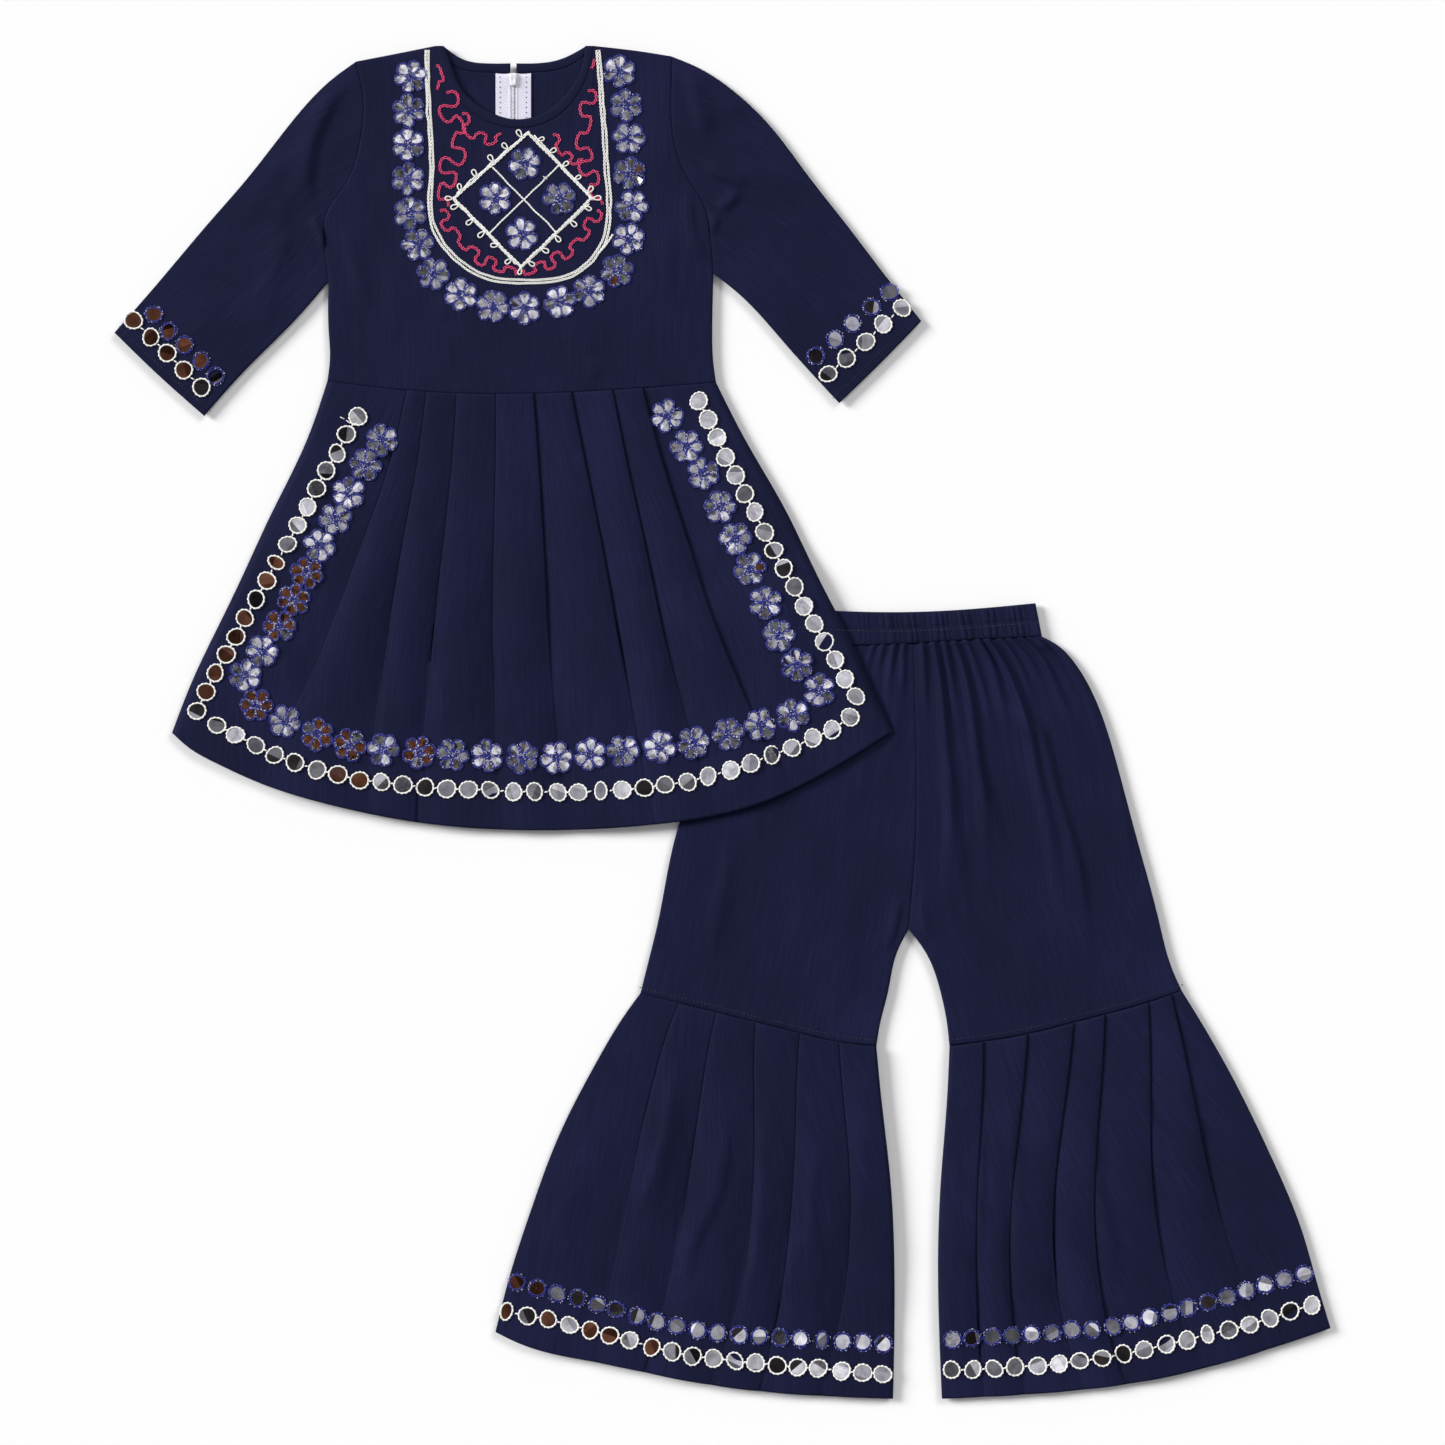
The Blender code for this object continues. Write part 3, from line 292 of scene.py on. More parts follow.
THIGH_RIGHT_FOLDS = [
    ([(166, 50), (174, 0), (183, -91), (189, -138), (192, -168)], 1.3, 5.0, 8.0),
    ([(183, 46), (189, -7), (203, -50), (227, -114)], 1.2, 4.0, 8.0),
    ([(202, 32), (223, 11), (247, -7), (256, -39), (273, -96), (282, -146), (287, -190)], 2.2, 4.0, 11.0),
    ([(245, 67), (253, 56)], 1.2, 3.0, 3.0),
    ([(311, -44), (323, -114)], 0.9, 5.0, 7.0),
    ([(152, -131), (160, -172)], 1.2, 5.0, 3.5),
    ([(236, -150), (240, -190), (238, -228)], 0.6, 12.0, 12.0),
    ([(318, -130), (328, -176), (330, -206)], 0.5, 9.0, 9.0),
]


def smooth_line(points):
    """A smooth curve through a few points: a natural cubic spline over chord length."""
    points = np.array(points, float)
    count = len(points)
    knots = np.concatenate([[0.0], np.cumsum(np.linalg.norm(np.diff(points, axis=0), axis=1))])
    knots /= knots[-1]
    steps = np.diff(knots)
    system = np.eye(count)
    known = np.zeros((count, 2))
    for i in range(1, count - 1):
        system[i, i - 1:i + 2] = steps[i - 1], 2 * (steps[i - 1] + steps[i]), steps[i]
        known[i] = 6 * ((points[i + 1] - points[i]) / steps[i] - (points[i] - points[i - 1]) / steps[i - 1])
    bends = np.linalg.solve(system, known)

    def at(share):
        """The place at a share of the whole."""
        share = np.clip(np.asarray(share, float), 0.0, 1.0)
        i = np.clip(np.searchsorted(knots, share, side="right") - 1, 0, count - 2)
        step = steps[i][..., None]
        before = (knots[i + 1] - share)[..., None] / step
        after = 1 - before
        bend = (before ** 3 - before) * bends[i] + (after ** 3 - after) * bends[i + 1]
        return before * points[i] + after * points[i + 1] + bend * step ** 2 / 6

    return at


def chained(lines, breaks):
    """Curves end to end as one edge; breaks are the shares where one ends and the next begins."""
    ends = [0.0] + list(breaks) + [1.0]
    curves = [smooth_line(line) for line in lines]

    def at(share):
        """The place at a share, on the curve that the share falls in."""
        share = np.clip(np.asarray(share, float), 0.0, 1.0)
        spot = np.zeros(share.shape + (2,))
        for curve, low, high in zip(curves, ends[:-1], ends[1:]):
            inside = (share >= low) & (share <= high)
            spot[inside] = curve((share[inside] - low) / (high - low))
        return spot

    return at


def blend(value, low, high):
    """0 below low, 1 above high and a straight rise between."""
    return np.clip((value - low) / (high - low), 0.0, 1.0)


def eased(value, low, high):
    """0 below low, 1 above high and a smooth rise between."""
    share = blend(value, low, high)
    return share * share * (3 - 2 * share)


def unit(vectors):
    """Vectors divided by their own lengths."""
    return vectors / np.linalg.norm(vectors, axis=-1, keepdims=True)


def left_of(ways):
    """Ways in the plan turned by a quarter turn to the left."""
    return np.stack([-ways[..., 1], ways[..., 0]], axis=-1)


def heading(ways):
    """The angle of ways in the plan, from +X."""
    return np.arctan2(ways[..., 1], ways[..., 0])


class Panel:
    """A piece of cloth in plan, blended between its four edges."""

    def __init__(self, top, bottom, left, right):
        """The edges are curves from 0 to 1: left to right, or from top to bottom."""
        self.top, self.bottom, self.left, self.right = top, bottom, left, right

    def at(self, across, down):
        """Plan place at shares across and down: the two pairs of edges blended, less their corners."""
        across, down = np.broadcast_arrays(np.asarray(across, float), np.asarray(down, float))
        s = across[..., None]
        v = down[..., None]
        between_rows = (1 - v) * self.top(across) + v * self.bottom(across)
        between_sides = (1 - s) * self.left(down) + s * self.right(down)
        corners = (1 - v) * ((1 - s) * self.top(0.0) + s * self.top(1.0))
        corners = corners + v * ((1 - s) * self.bottom(0.0) + s * self.bottom(1.0))
        return between_rows + between_sides - corners

    def widths(self, downs):
        """The straight width of each row, as a column."""
        gap = self.at(np.ones(len(downs)), downs) - self.at(np.zeros(len(downs)), downs)
        return np.linalg.norm(gap, axis=1)[:, None]

    def height(self):
        """The straight length down the middle."""
        return float(np.linalg.norm(self.at(0.5, 1.0) - self.at(0.5, 0.0)))

    def is_mirrored(self):
        """True if down lies to the left of across: then faces have to be turned to point outwards."""
        over = self.at(1.0, 0.5) - self.at(0.0, 0.5)
        downward = self.at(0.5, 1.0) - self.at(0.5, 0.0)
        return bool(over[0] * downward[1] > over[1] * downward[0])


def panel_through(top, bottom, left, right):
    """A panel whose four edges are smooth lines through lists of points."""
    return Panel(smooth_line(top), smooth_line(bottom), smooth_line(left), smooth_line(right))


def fold_relief(folds, plan):
    """How far folds lift the cloth at plan places.

    Each is a bell about its path, height * exp(-(distance / reach)^2), with one reach on the path's
    left and another on its right, and it rises and dies out smoothly along the path.
    """
    lift = np.zeros(plan.shape[:-1])
    for row in folds:
        fold = dict(zip(FOLD_COLUMNS, row))
        path = smooth_line(fold["path"])(np.linspace(0, 1, 13))
        nearest = np.full(lift.shape, np.inf)
        side = np.zeros(lift.shape)
        along = np.zeros(lift.shape)
        for i, (start, end) in enumerate(zip(path, path[1:])):
            way = end - start
            share = np.clip(((plan - start) @ way) / (way @ way), 0.0, 1.0)
            away = plan - start - share[..., None] * way
            distance = np.linalg.norm(away, axis=-1)
            closer = distance < nearest
            nearest = np.where(closer, distance, nearest)
            side = np.where(closer, way[0] * away[..., 1] - way[1] * away[..., 0], side)
            along = np.where(closer, (i + share) / (len(path) - 1), along)
        reach = np.where(side > 0, fold["left"], fold["right"])
        ends = eased(along, 0.0, 0.28) * eased(1 - along, 0.0, 0.32)
        lift += FOLD_RISE * fold["height"] * np.exp(-(nearest / reach) ** 2) * ends
    return lift


def pleat_rows(pleat, downs, widths, low):
    """A knife pleat's section in every row: over the top, round the folded edge, back and out again.

    The fold's angle is eased from a full turn at the seam to a soft step at the hem, and the tuck
    under it shortens from its depth to nothing over the pressed part. Returns rows x steps x 2.
    """
    down = downs[:, None]
    opened = blend(down, pleat["pressed"], pleat["pressed"] + OPENING)
    softened = blend(down, pleat["pressed"] + OPENING, 1.0)
    turn = PRESSED * (1 - 0.5 * opened) - STEP_LEAN * softened
    tuck = pleat["depth"] * (1 - blend(down, 0.0, pleat["pressed"])) + SHORTEST_TUCK
    tuck = tuck + pleat["wave"] * softened
    turns = turn * np.linspace(0.0, 1.0, FOLD_STEPS)
    first = np.stack([np.sin(turns), np.cos(turns) - 1], axis=2) * FOLD_RADIUS
    back = turns[:, ::-1]
    second = np.stack([np.sin(turn) - np.sin(back), np.cos(turn) - np.cos(back)], axis=2) * FOLD_RADIUS
    second = second + first[:, -1:] + np.stack([tuck * np.cos(turn), -tuck * np.sin(turn)], axis=2)
    line = np.concatenate([first, second], axis=1)
    faded = 1 - PLEAT_FADE * eased(down, pleat["pressed"] + OPENING, pleat["pressed"] + 2 * OPENING)
    line[..., 1] = low + (line[..., 1] - line[:, -1:, 1]) * faded
    line[..., 0] -= FOLD_RADIUS * np.sin(np.minimum(turn, math.pi / 2)) + LAYER / 2
    if pleat["faces"] < 0:
        line = line[:, ::-1] * np.array([-1.0, 1.0])
    top, middle, foot = pleat["top"], pleat["middle"], pleat["foot"]
    spot = top * (1 - down) * (1 - 2 * down) + 4 * middle * down * (1 - down) + foot * down * (2 * down - 1)
    line[..., 0] += spot * widths
    return line


def gap_depth(pleat, down):
    """How deep the painted shade in a pleat's gap is at its folded edge: 1 where it is pressed, fading to
    the hem.
    """
    return 1 - 0.85 * eased(down, 0.8 * pleat["pressed"], pleat["pressed"] + 2.2 * OPENING)


def gap_on_fold(pleat, down):
    """Painted shade on a pleat's own points: none up to the turn of the fold and full from there inwards.
    """
    inside = np.arange(2 * FOLD_STEPS) >= FOLD_STEPS // 2
    inside = inside[::-1] if pleat["faces"] < 0 else inside
    return np.where(inside, gap_depth(pleat, down), OPEN_CLOTH)


def gap_between(across, before, after, down):
    """Painted shade on the cloth between two pleats: full at the edge of a fold that lies over it,
    falling by 1 over GAP_REACH, and the larger of the two where both lie over it."""
    shade = np.full(across.shape, OPEN_CLOTH)
    for side, neighbour in ((1, before), (-1, after)):
        if neighbour is not None and neighbour[0]["faces"] == side:
            pleat, rows = neighbour
            edge = side * (side * rows[..., 0]).max(axis=1, keepdims=True)
            shade = np.maximum(shade, gap_depth(pleat, down) - side * (across - edge) / GAP_REACH)
    return np.clip(shade, OPEN_CLOTH, 2.0)


def bridge(here, there, steps, arch):
    """The cloth between two pleats: a smooth rise from one height to the other plus arch * sin."""
    share = np.linspace(0.0, 1.0, steps + 2)[1:-1]
    across = here[:, -1:, 0] * (1 - share) + there[:, :1, 0] * share
    rise = share * share * (3 - 2 * share)
    height = here[:, -1:, 1] * (1 - rise) + there[:, :1, 1] * rise
    height = height + arch * np.sin(math.pi * share) ** 0.8
    return np.stack([across, height], axis=2)


def pleated(table, downs, widths, low, edge, steps):
    """A pleated panel's section in every row: its pleats in order with plain cloth between them.

    Also returns the painted shade of the pleats' gaps at every point, as gap_between gives it.
    """
    pleats = [dict(zip(PLEAT_COLUMNS, row)) for row in table]
    spans = [pleat_rows(pleat, downs, widths, low) for pleat in pleats]
    start = np.stack([np.full_like(widths, edge), spans[0][:, :1, 1]], axis=2)
    end = np.stack([widths - edge, spans[-1][:, -1:, 1]], axis=2)
    pleats = [None] + pleats + [None]
    spans = [start] + spans + [end]
    parts = [spans[0]]
    down = downs[:, None]
    shades = [np.full_like(down, OPEN_CLOTH)]
    grown = ARCH_START + (1 - ARCH_START) * eased(down, 0.05, 0.5) * (1 - 0.7 * eased(down, 0.7, 1.0))
    last = len(spans) - 2
    for i, (here, there) in enumerate(zip(spans, spans[1:])):
        arch = PLEAT_ARCH * grown * (0.55 if i in (0, last) else 1.0)
        between = bridge(here, there, steps, arch)
        parts += [between, there]
        before = (pleats[i], here) if pleats[i] else None
        after = (pleats[i + 1], there) if pleats[i + 1] else None
        shades.append(gap_between(between[..., 0], before, after, down))
        shades.append(gap_on_fold(pleats[i + 1], down) if after else np.full_like(down, OPEN_CLOTH))
    return np.concatenate(parts, axis=1), np.concatenate(shades, axis=1)


def flat_rows(shares, widths, low, edge):
    """A plain section: shares across, kept edge millimetres inside the sides, all at one height."""
    across = np.clip(shares[None, :] * widths, edge, widths - edge)
    return np.stack([across, np.full_like(across, low)], axis=2)


def ringed(front, widths, back_steps, wall, layer, low):
    """A flattened tube's section: the front, a half turn, the back from right to left, a half turn."""
    radius = layer / 2
    inset = wall / 2 + radius
    turns = np.linspace(0.0, math.pi, 8)[1:-1]
    rise = low + radius * (1 + np.cos(turns))
    right = np.stack(np.broadcast_arrays(widths - inset + radius * np.sin(turns), rise), axis=2)
    shares = np.linspace(1.0, 0.0, back_steps)
    back = np.stack(np.broadcast_arrays(inset + shares * (widths - 2 * inset), float(low)), axis=2)
    rise = low + radius * (1 - np.cos(turns))
    left = np.stack(np.broadcast_arrays(inset - radius * np.sin(turns) + 0 * widths, rise), axis=2)
    return np.concatenate([front, right, back, left], axis=1)


def beside(line, distance, closed):
    """Section lines moved sideways by a distance along their mitred normals, all rows at once."""
    ahead = np.roll(line, -1, axis=1) - line
    if not closed:
        ahead[:, -1] = ahead[:, -2]
    behind = np.roll(ahead, 1, axis=1)
    if not closed:
        behind[:, 0] = ahead[:, 0]
    ahead = unit(ahead)
    way = unit(ahead + unit(behind))
    mitre = distance / np.maximum((way * ahead).sum(axis=2), 0.8)
    return line + left_of(way) * mitre[..., None]


def mesh_object(name, points, faces, look, uv=None, floats=None, smooth=True):
    """A piece at the origin from points in millimetres and faces of one size, riding on the suit."""
    faces = np.asarray(faces, np.int32)
    mesh = bpy.data.meshes.new(name)
    mesh.vertices.add(len(points))
    mesh.vertices.foreach_set("co", (np.asarray(points, np.float32) * MM).ravel())
    mesh.loops.add(faces.size)
    mesh.loops.foreach_set("vertex_index", faces.ravel())
    mesh.polygons.add(len(faces))
    mesh.polygons.foreach_set("loop_start", np.arange(len(faces), dtype=np.int32) * faces.shape[1])
    mesh.update(calc_edges=True)
    if uv is not None:
        layer = mesh.uv_layers.new(name="UVMap")
        layer.data.foreach_set("uv", np.asarray(uv, np.float32)[faces.ravel()].ravel())
    for label, values in (floats or {}).items():
        attribute = mesh.attributes.new(label, "FLOAT", "POINT")
        attribute.data.foreach_set("value", np.asarray(values, np.float32))
    mesh.validate()
    mesh.materials.append(look)
    made = bpy.data.objects.new(name, mesh)
    bpy.context.scene.collection.objects.link(made)
    mesh.polygons.foreach_set("use_smooth", np.full(len(mesh.polygons), smooth))
    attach(made, "root")
    return made


def grid_faces(rows, columns, closed):
    """Quads over a grid of points, wrapped round where the section is closed."""
    row = np.arange(rows - 1)[:, None] * columns
    column = np.arange(columns if closed else columns - 1)[None, :]
    beside_it = (column + 1) % columns
    corners = [row + column, row + beside_it, row + columns + beside_it, row + columns + column]
    return np.stack([np.broadcast_to(c, (rows - 1, column.size)) for c in corners], axis=2).reshape(-1, 4)


def cap_faces(sides):
    """Quads from side to side over a ring of points, facing the way that it runs round."""
    step = np.arange(sides // 2 - 1)
    return np.stack([step, step + 1, sides - step - 2, sides - step - 1], axis=1)


def face_about(faces):
    """The same quads facing the other way, each still split from its first corner."""
    return faces[:, [0, 3, 2, 1]]


def shell_faces(rows, columns, closed):
    """Faces of a shell, its upper points first: above, below, and the walls round its open edges."""
    inner = rows * columns
    faces = grid_faces(rows, columns, closed)
    parts = [faces[:, ::-1], faces + inner]
    ring = np.arange(columns if closed else columns - 1)
    after = (ring + 1) % columns
    last = (rows - 1) * columns
    parts.append(np.stack([ring, after, inner + after, inner + ring], axis=1))
    parts.append(np.stack([last + after, last + ring, inner + last + ring, inner + last + after], axis=1))
    if not closed:
        low = np.arange(rows - 1) * columns
        high = low + columns
        parts.append(np.stack([high, low, inner + low, inner + high], axis=1))
        low = low + columns - 1
        high = low + columns
        parts.append(np.stack([low, high, inner + high, inner + low], axis=1))
    return np.concatenate(parts)


class Relief:
    """The highest surface of the cloth over each square of the plan."""

    def __init__(self, low, high, pitch):
        """A flat map from one corner of the plan to the other, with squares of one pitch."""
        self.low = np.array(low, float)
        self.pitch = pitch
        self.size = np.ceil((np.array(high) - self.low) / pitch).astype(int) + 1
        self.height = np.zeros(self.size)

    def take(self, grid):
        """Raises the map to a grid of surface points, each cell filled in by halves both ways."""
        for _ in range(2):
            middle = (grid[1:] + grid[:-1]) / 2
            grid = np.insert(grid, np.arange(1, len(grid)), middle, axis=0)
            middle = (grid[:, 1:] + grid[:, :-1]) / 2
            grid = np.insert(grid, np.arange(1, grid.shape[1]), middle, axis=1)
        points = grid.reshape(-1, 3)
        cell = np.rint((points[:, :2] - self.low) / self.pitch).astype(int)
        inside = ((cell >= 0) & (cell < self.size)).all(axis=1)
        np.maximum.at(self.height, tuple(cell[inside].T), points[inside, 2])

    def fill(self):
        """Closes single missed squares with their neighbours' height."""
        for _ in range(3):
            padded = np.pad(self.height, 1, mode="edge")
            around = np.stack([padded[:-2, 1:-1], padded[2:, 1:-1], padded[1:-1, :-2], padded[1:-1, 2:]])
            self.height = np.where(self.height > 0, self.height, around.max(axis=0))

    def at(self, plan):
        """Height at plan places, blended between the four nearest squares."""
        place = np.clip((plan - self.low) / self.pitch, 0, self.size - 1.001)
        cell = place.astype(int)
        share = place - cell
        i, j = cell[..., 0], cell[..., 1]
        u, v = share[..., 0], share[..., 1]
        near = self.height[i, j] * (1 - u) + self.height[i + 1, j] * u
        far = self.height[i, j + 1] * (1 - u) + self.height[i + 1, j + 1] * u
        return near * (1 - v) + far * v


relief = Relief((-480, -530), (480, 530), 1.0)


def cloth(name, look, panel, downs, line, wall=WALL, closed=False, lift=None, folds=(), sink=(1, 1, 1, 1),
          top_columns=None, painted_gap_shades=None):
    """A shell of cloth from its section lines (rows x columns x 2, millimetres across and heights).

    The wall's two faces lie half a wall to each side of the line. folds lift the top columns, sink
    says how far the top, foot, left and right edges dip into their seams, and lift raises it all.
    The last argument is the painted shade in the pleats' gaps, on the first columns of each row; it
    goes on as a point attribute that darkens the cloth's colour.
    """
    downs = np.asarray(downs, float)
    widths = panel.widths(downs)
    top_columns = line.shape[1] if top_columns is None else top_columns
    share = line[..., 0] / widths
    plan = panel.at(share, downs[:, None])
    raised = np.zeros(share.shape)
    if len(folds):
        raised = fold_relief(folds, plan)
    long = panel.height()
    edge_dip = SEAM_DEPTH * (
        sink[0] * (1 - eased(downs[:, None] * long, 0, SEAM_REACH))
        + sink[1] * (1 - eased((1 - downs[:, None]) * long, 0, SEAM_REACH))
        + sink[2] * (1 - eased(line[..., 0], 0, SEAM_REACH))
        + sink[3] * (1 - eased(widths - line[..., 0], 0, SEAM_REACH)))
    inward = eased(np.minimum(share, 1 - share) * widths, 1.5, 9.0)
    raised = raised * inward - edge_dip
    raised[:, top_columns:] = 0.0
    if lift is not None:
        raised = raised + lift(share, downs[:, None])
    sheets = []
    for side in (wall / 2, -wall / 2):
        moved = beside(line, side, closed)
        place = panel.at(moved[..., 0] / widths, downs[:, None])
        sheets.append(np.concatenate([place, (moved[..., 1] + raised)[..., None]], axis=2))
    rows, columns = line.shape[:2]
    faces = shell_faces(rows, columns, closed)
    if panel.is_mirrored():
        faces = face_about(faces)
    run = np.cumsum(np.linalg.norm(np.diff(line, axis=1, prepend=line[:, :1]), axis=2), axis=1)
    run = run - run[:, -1:] / 2
    uv = np.stack([run, np.broadcast_to(-downs[:, None] * long, run.shape)], axis=2).reshape(-1, 2) * MM
    points = np.concatenate([sheets[0].reshape(-1, 3), sheets[1].reshape(-1, 3)])
    floats = None
    # The painted shade in the pleats' gaps goes on both faces as a point attribute
    if painted_gap_shades is not None:
        shade = np.full((rows, columns), OPEN_CLOTH)
        shade[:, :painted_gap_shades.shape[1]] = painted_gap_shades
        floats = {"pleat_gap_painted_shade": np.concatenate([shade.ravel(), shade.ravel()])}
    made = mesh_object(f"{name}_cloth", points, faces, look, uv=np.concatenate([uv, uv]),
                       floats=floats)
    relief.take(sheets[0][:, :top_columns])
    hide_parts(name)
    return made


def overlap_lift(across, down):
    """The kurti's rise over the sharara's waist: a ramp across times a ramp down, both rounded."""
    return OVERLAP_LIFT * eased(across, *LIFT_ACROSS) * eased(down, *LIFT_DOWN)


def beyond(plan, start, end):
    """How far places lie to the left of the straight line from start to end, in millimetres."""
    start = np.array(start, float)
    return (plan - start) @ left_of(unit(np.array(end, float) - start))


def clear_of_kurti(plan):
    """0 under the kurti's corner and 1 well outside it, for relief that must stay flat beneath it."""
    outside_side = beyond(plan, SKIRT_RIGHT[2], SKIRT_RIGHT[-1])
    outside_hem = -beyond(plan, SKIRT_HEM[-4], SKIRT_RIGHT[-1]) - HEM_BULGE
    return np.clip(np.maximum(outside_side, outside_hem) / CLEAR_REACH, 0.0, 1.0)


def zip_loft(across):
    """The front bodice's rise over the zip, widest at the middle."""
    return ZIP_LOFT * eased(0.5 - abs(across - 0.5), *ZIP_LOFT_REACH)


def linear(colour):
    """An sRGB hex colour turned to linear light."""
    parts = [int(colour[i:i + 2], 16) / 255 for i in (1, 3, 5)]
    return [p / 12.92 if p <= 0.04045 else ((p + 0.055) / 1.055) ** 2.4 for p in parts] + [1.0]


def add(tree, kind, settings=None, links=None):
    """Adds a node, sets its own settings or its sockets' values, and links sockets to other outputs."""
    node = tree.nodes.new(kind)
    for name, value in (settings or {}).items():
        if isinstance(name, str) and hasattr(node, name):
            setattr(node, name, value)
        else:
            node.inputs[name].default_value = value
    for socket, source in (links or {}).items():
        tree.links.new(source, node.inputs[socket])
    return node


def new_material(name, settings):
    """A material with one Principled shader, its constants set on the shader's own sockets."""
    made = bpy.data.materials.new(name)
    made.use_nodes = True
    shader = made.node_tree.nodes["Principled BSDF"]
    for socket, value in settings.items():
        shader.inputs[socket].default_value = value
    return made, made.node_tree, shader


def colours(tree, factor, stops):
    """A ramp through sRGB colours at their places, read by a factor from 0 to 1."""
    ramp = add(tree, "ShaderNodeValToRGB", links={"Fac": factor})
    while len(ramp.color_ramp.elements) < len(stops):
        ramp.color_ramp.elements.new(0.5)
    for element, (place, colour) in zip(ramp.color_ramp.elements, stops):
        element.position = place
        element.color = linear(colour)
    return ramp.outputs["Color"]


def scaled(tree, source, scale):
    """Coordinates in metres multiplied by scale on each axis, for one pattern."""
    return add(tree, "ShaderNodeMapping", {"Scale": scale}, {"Vector": source}).outputs["Vector"]


def bumped(tree, shader, height, strength, distance):
    """A relief on the shader's surface from a height between 0 and 1, over a distance in metres."""
    bump = add(tree, "ShaderNodeBump", {"Strength": strength, "Distance": distance}, {"Height": height})
    tree.links.new(bump.outputs["Normal"], shader.inputs["Normal"])


def banded(tree, shader, wave, dark, light, strength, distance):
    """Threads from a wave's bands: their colour from dark to light, and a relief that follows them."""
    bands = wave.outputs["Fac"]
    tree.links.new(colours(tree, bands, [(0.0, dark), (1.0, light)]), shader.inputs["Base Color"])
    bumped(tree, shader, bands, strength, distance)


def woven_rayon():
    """Plain-woven viscose rayon, piece-dyed navy and pressed: soft and matt, with a faint sheen along
    the folds, slubs that run as fine paler streaks down the cloth, and a weave that only just shows.
    Its colour is darkened in the pleats' gaps as painted shade.

    The real thread spacing is about 0.35 mm; it is drawn at 1.1 mm so that it shows in the render.
    """
    made, tree, shader = new_material("navy woven rayon", {
        "Roughness": 0.78, "IOR": 1.46, "Specular IOR Level": 0.10,
        "Sheen Weight": 0.05, "Sheen Roughness": 0.5, "Sheen Tint": linear("#8088c0")})
    uv = add(tree, "ShaderNodeTexCoord").outputs["UV"]
    slub = add(tree, "ShaderNodeTexNoise", {"Scale": 1.0, "Detail": 4.0, "Roughness": 0.6},
               {"Vector": scaled(tree, uv, (620, 26, 1))})
    patch = add(tree, "ShaderNodeTexNoise", {"Scale": 1.0, "Detail": 2.0},
                {"Vector": scaled(tree, uv, (14, 9, 1))})
    patches = add(tree, "ShaderNodeMath", {"operation": "MULTIPLY", 1: 0.45}, {0: patch.outputs["Fac"]})
    mixed = add(tree, "ShaderNodeMath", {"operation": "MULTIPLY_ADD", 1: 0.55},
                {0: slub.outputs["Fac"], 2: patches.outputs["Value"]})
    colour = colours(tree, mixed.outputs["Value"],
                     [(0.30, "#0e1027"), (0.50, "#131531"), (0.70, "#191b3c")])
    # Painted shade: the pleats' gap attribute darkens the colour where a fold lies over the cloth
    gap = add(tree, "ShaderNodeAttribute", {"attribute_name": "pleat_gap_painted_shade"}).outputs["Fac"]
    left = add(tree, "ShaderNodeMapRange", {"interpolation_type": "SMOOTHSTEP", "To Min": 1.0,
                                            "To Max": PAINTED_GAP_COLOUR_LEFT}, {"Value": gap})
    shaded = add(tree, "ShaderNodeVectorMath", {"operation": "SCALE"},
                 {0: colour, "Scale": left.outputs["Result"]})
    tree.links.new(shaded.outputs["Vector"], shader.inputs["Base Color"])
    warp = add(tree, "ShaderNodeTexWave", {"Scale": 1.0, "Distortion": 0.6, "bands_direction": "X"},
               {"Vector": scaled(tree, uv, (142, 142, 1))})
    weft = add(tree, "ShaderNodeTexWave", {"Scale": 1.0, "Distortion": 0.6, "bands_direction": "Y"},
               {"Vector": scaled(tree, uv, (142, 142, 1))})
    threads = add(tree, "ShaderNodeMath", {"operation": "MAXIMUM"},
                  {0: warp.outputs["Fac"], 1: weft.outputs["Fac"]})
    weave = add(tree, "ShaderNodeBump", {"Strength": 0.10, "Distance": 0.0003},
                {"Height": threads.outputs["Value"]})
    crumple = add(tree, "ShaderNodeTexNoise", {"Scale": 1.0, "Detail": 5.0, "Roughness": 0.55},
                  {"Vector": scaled(tree, uv, (60, 34, 1))})
    bump = add(tree, "ShaderNodeBump", {"Strength": 0.6, "Distance": 0.0016},
               {"Height": crumple.outputs["Fac"], "Normal": weave.outputs["Normal"]})
    tree.links.new(bump.outputs["Normal"], shader.inputs["Normal"])
    return made


def bias_binding():
    """The same rayon cut on the bias and folded tight: a little darker, its weave turned by 45 degrees."""
    made, tree, shader = new_material("navy bias binding", {
        "Roughness": 0.8, "IOR": 1.46, "Specular IOR Level": 0.10})
    place = add(tree, "ShaderNodeTexCoord").outputs["Object"]
    turned_place = add(tree, "ShaderNodeMapping",
                       {"Rotation": (0, 0, math.radians(45)), "Scale": (300, 300, 300)}, {"Vector": place})
    weave = add(tree, "ShaderNodeTexWave", {"Scale": 1.0, "Distortion": 1.0},
                {"Vector": turned_place.outputs["Vector"]})
    banded(tree, shader, weave, "#0f1129", "#181a36", 0.2, 0.0003)
    return made


def woven_tape():
    """Bleached polyester zip tape, woven tight: plain white with a fine herringbone and a soft shade."""
    made, tree, shader = new_material("white polyester zip tape", {
        "Roughness": 0.7, "IOR": 1.5, "Specular IOR Level": 0.3})
    place = add(tree, "ShaderNodeTexCoord").outputs["Object"]
    weave = add(tree, "ShaderNodeTexWave", {"Scale": 1.0, "Distortion": 2.0, "bands_direction": "DIAGONAL"},
                {"Vector": scaled(tree, place, (260, 260, 260))})
    banded(tree, shader, weave, "#c4c2d0", "#d8d6e4", 0.3, 0.0004)
    return made


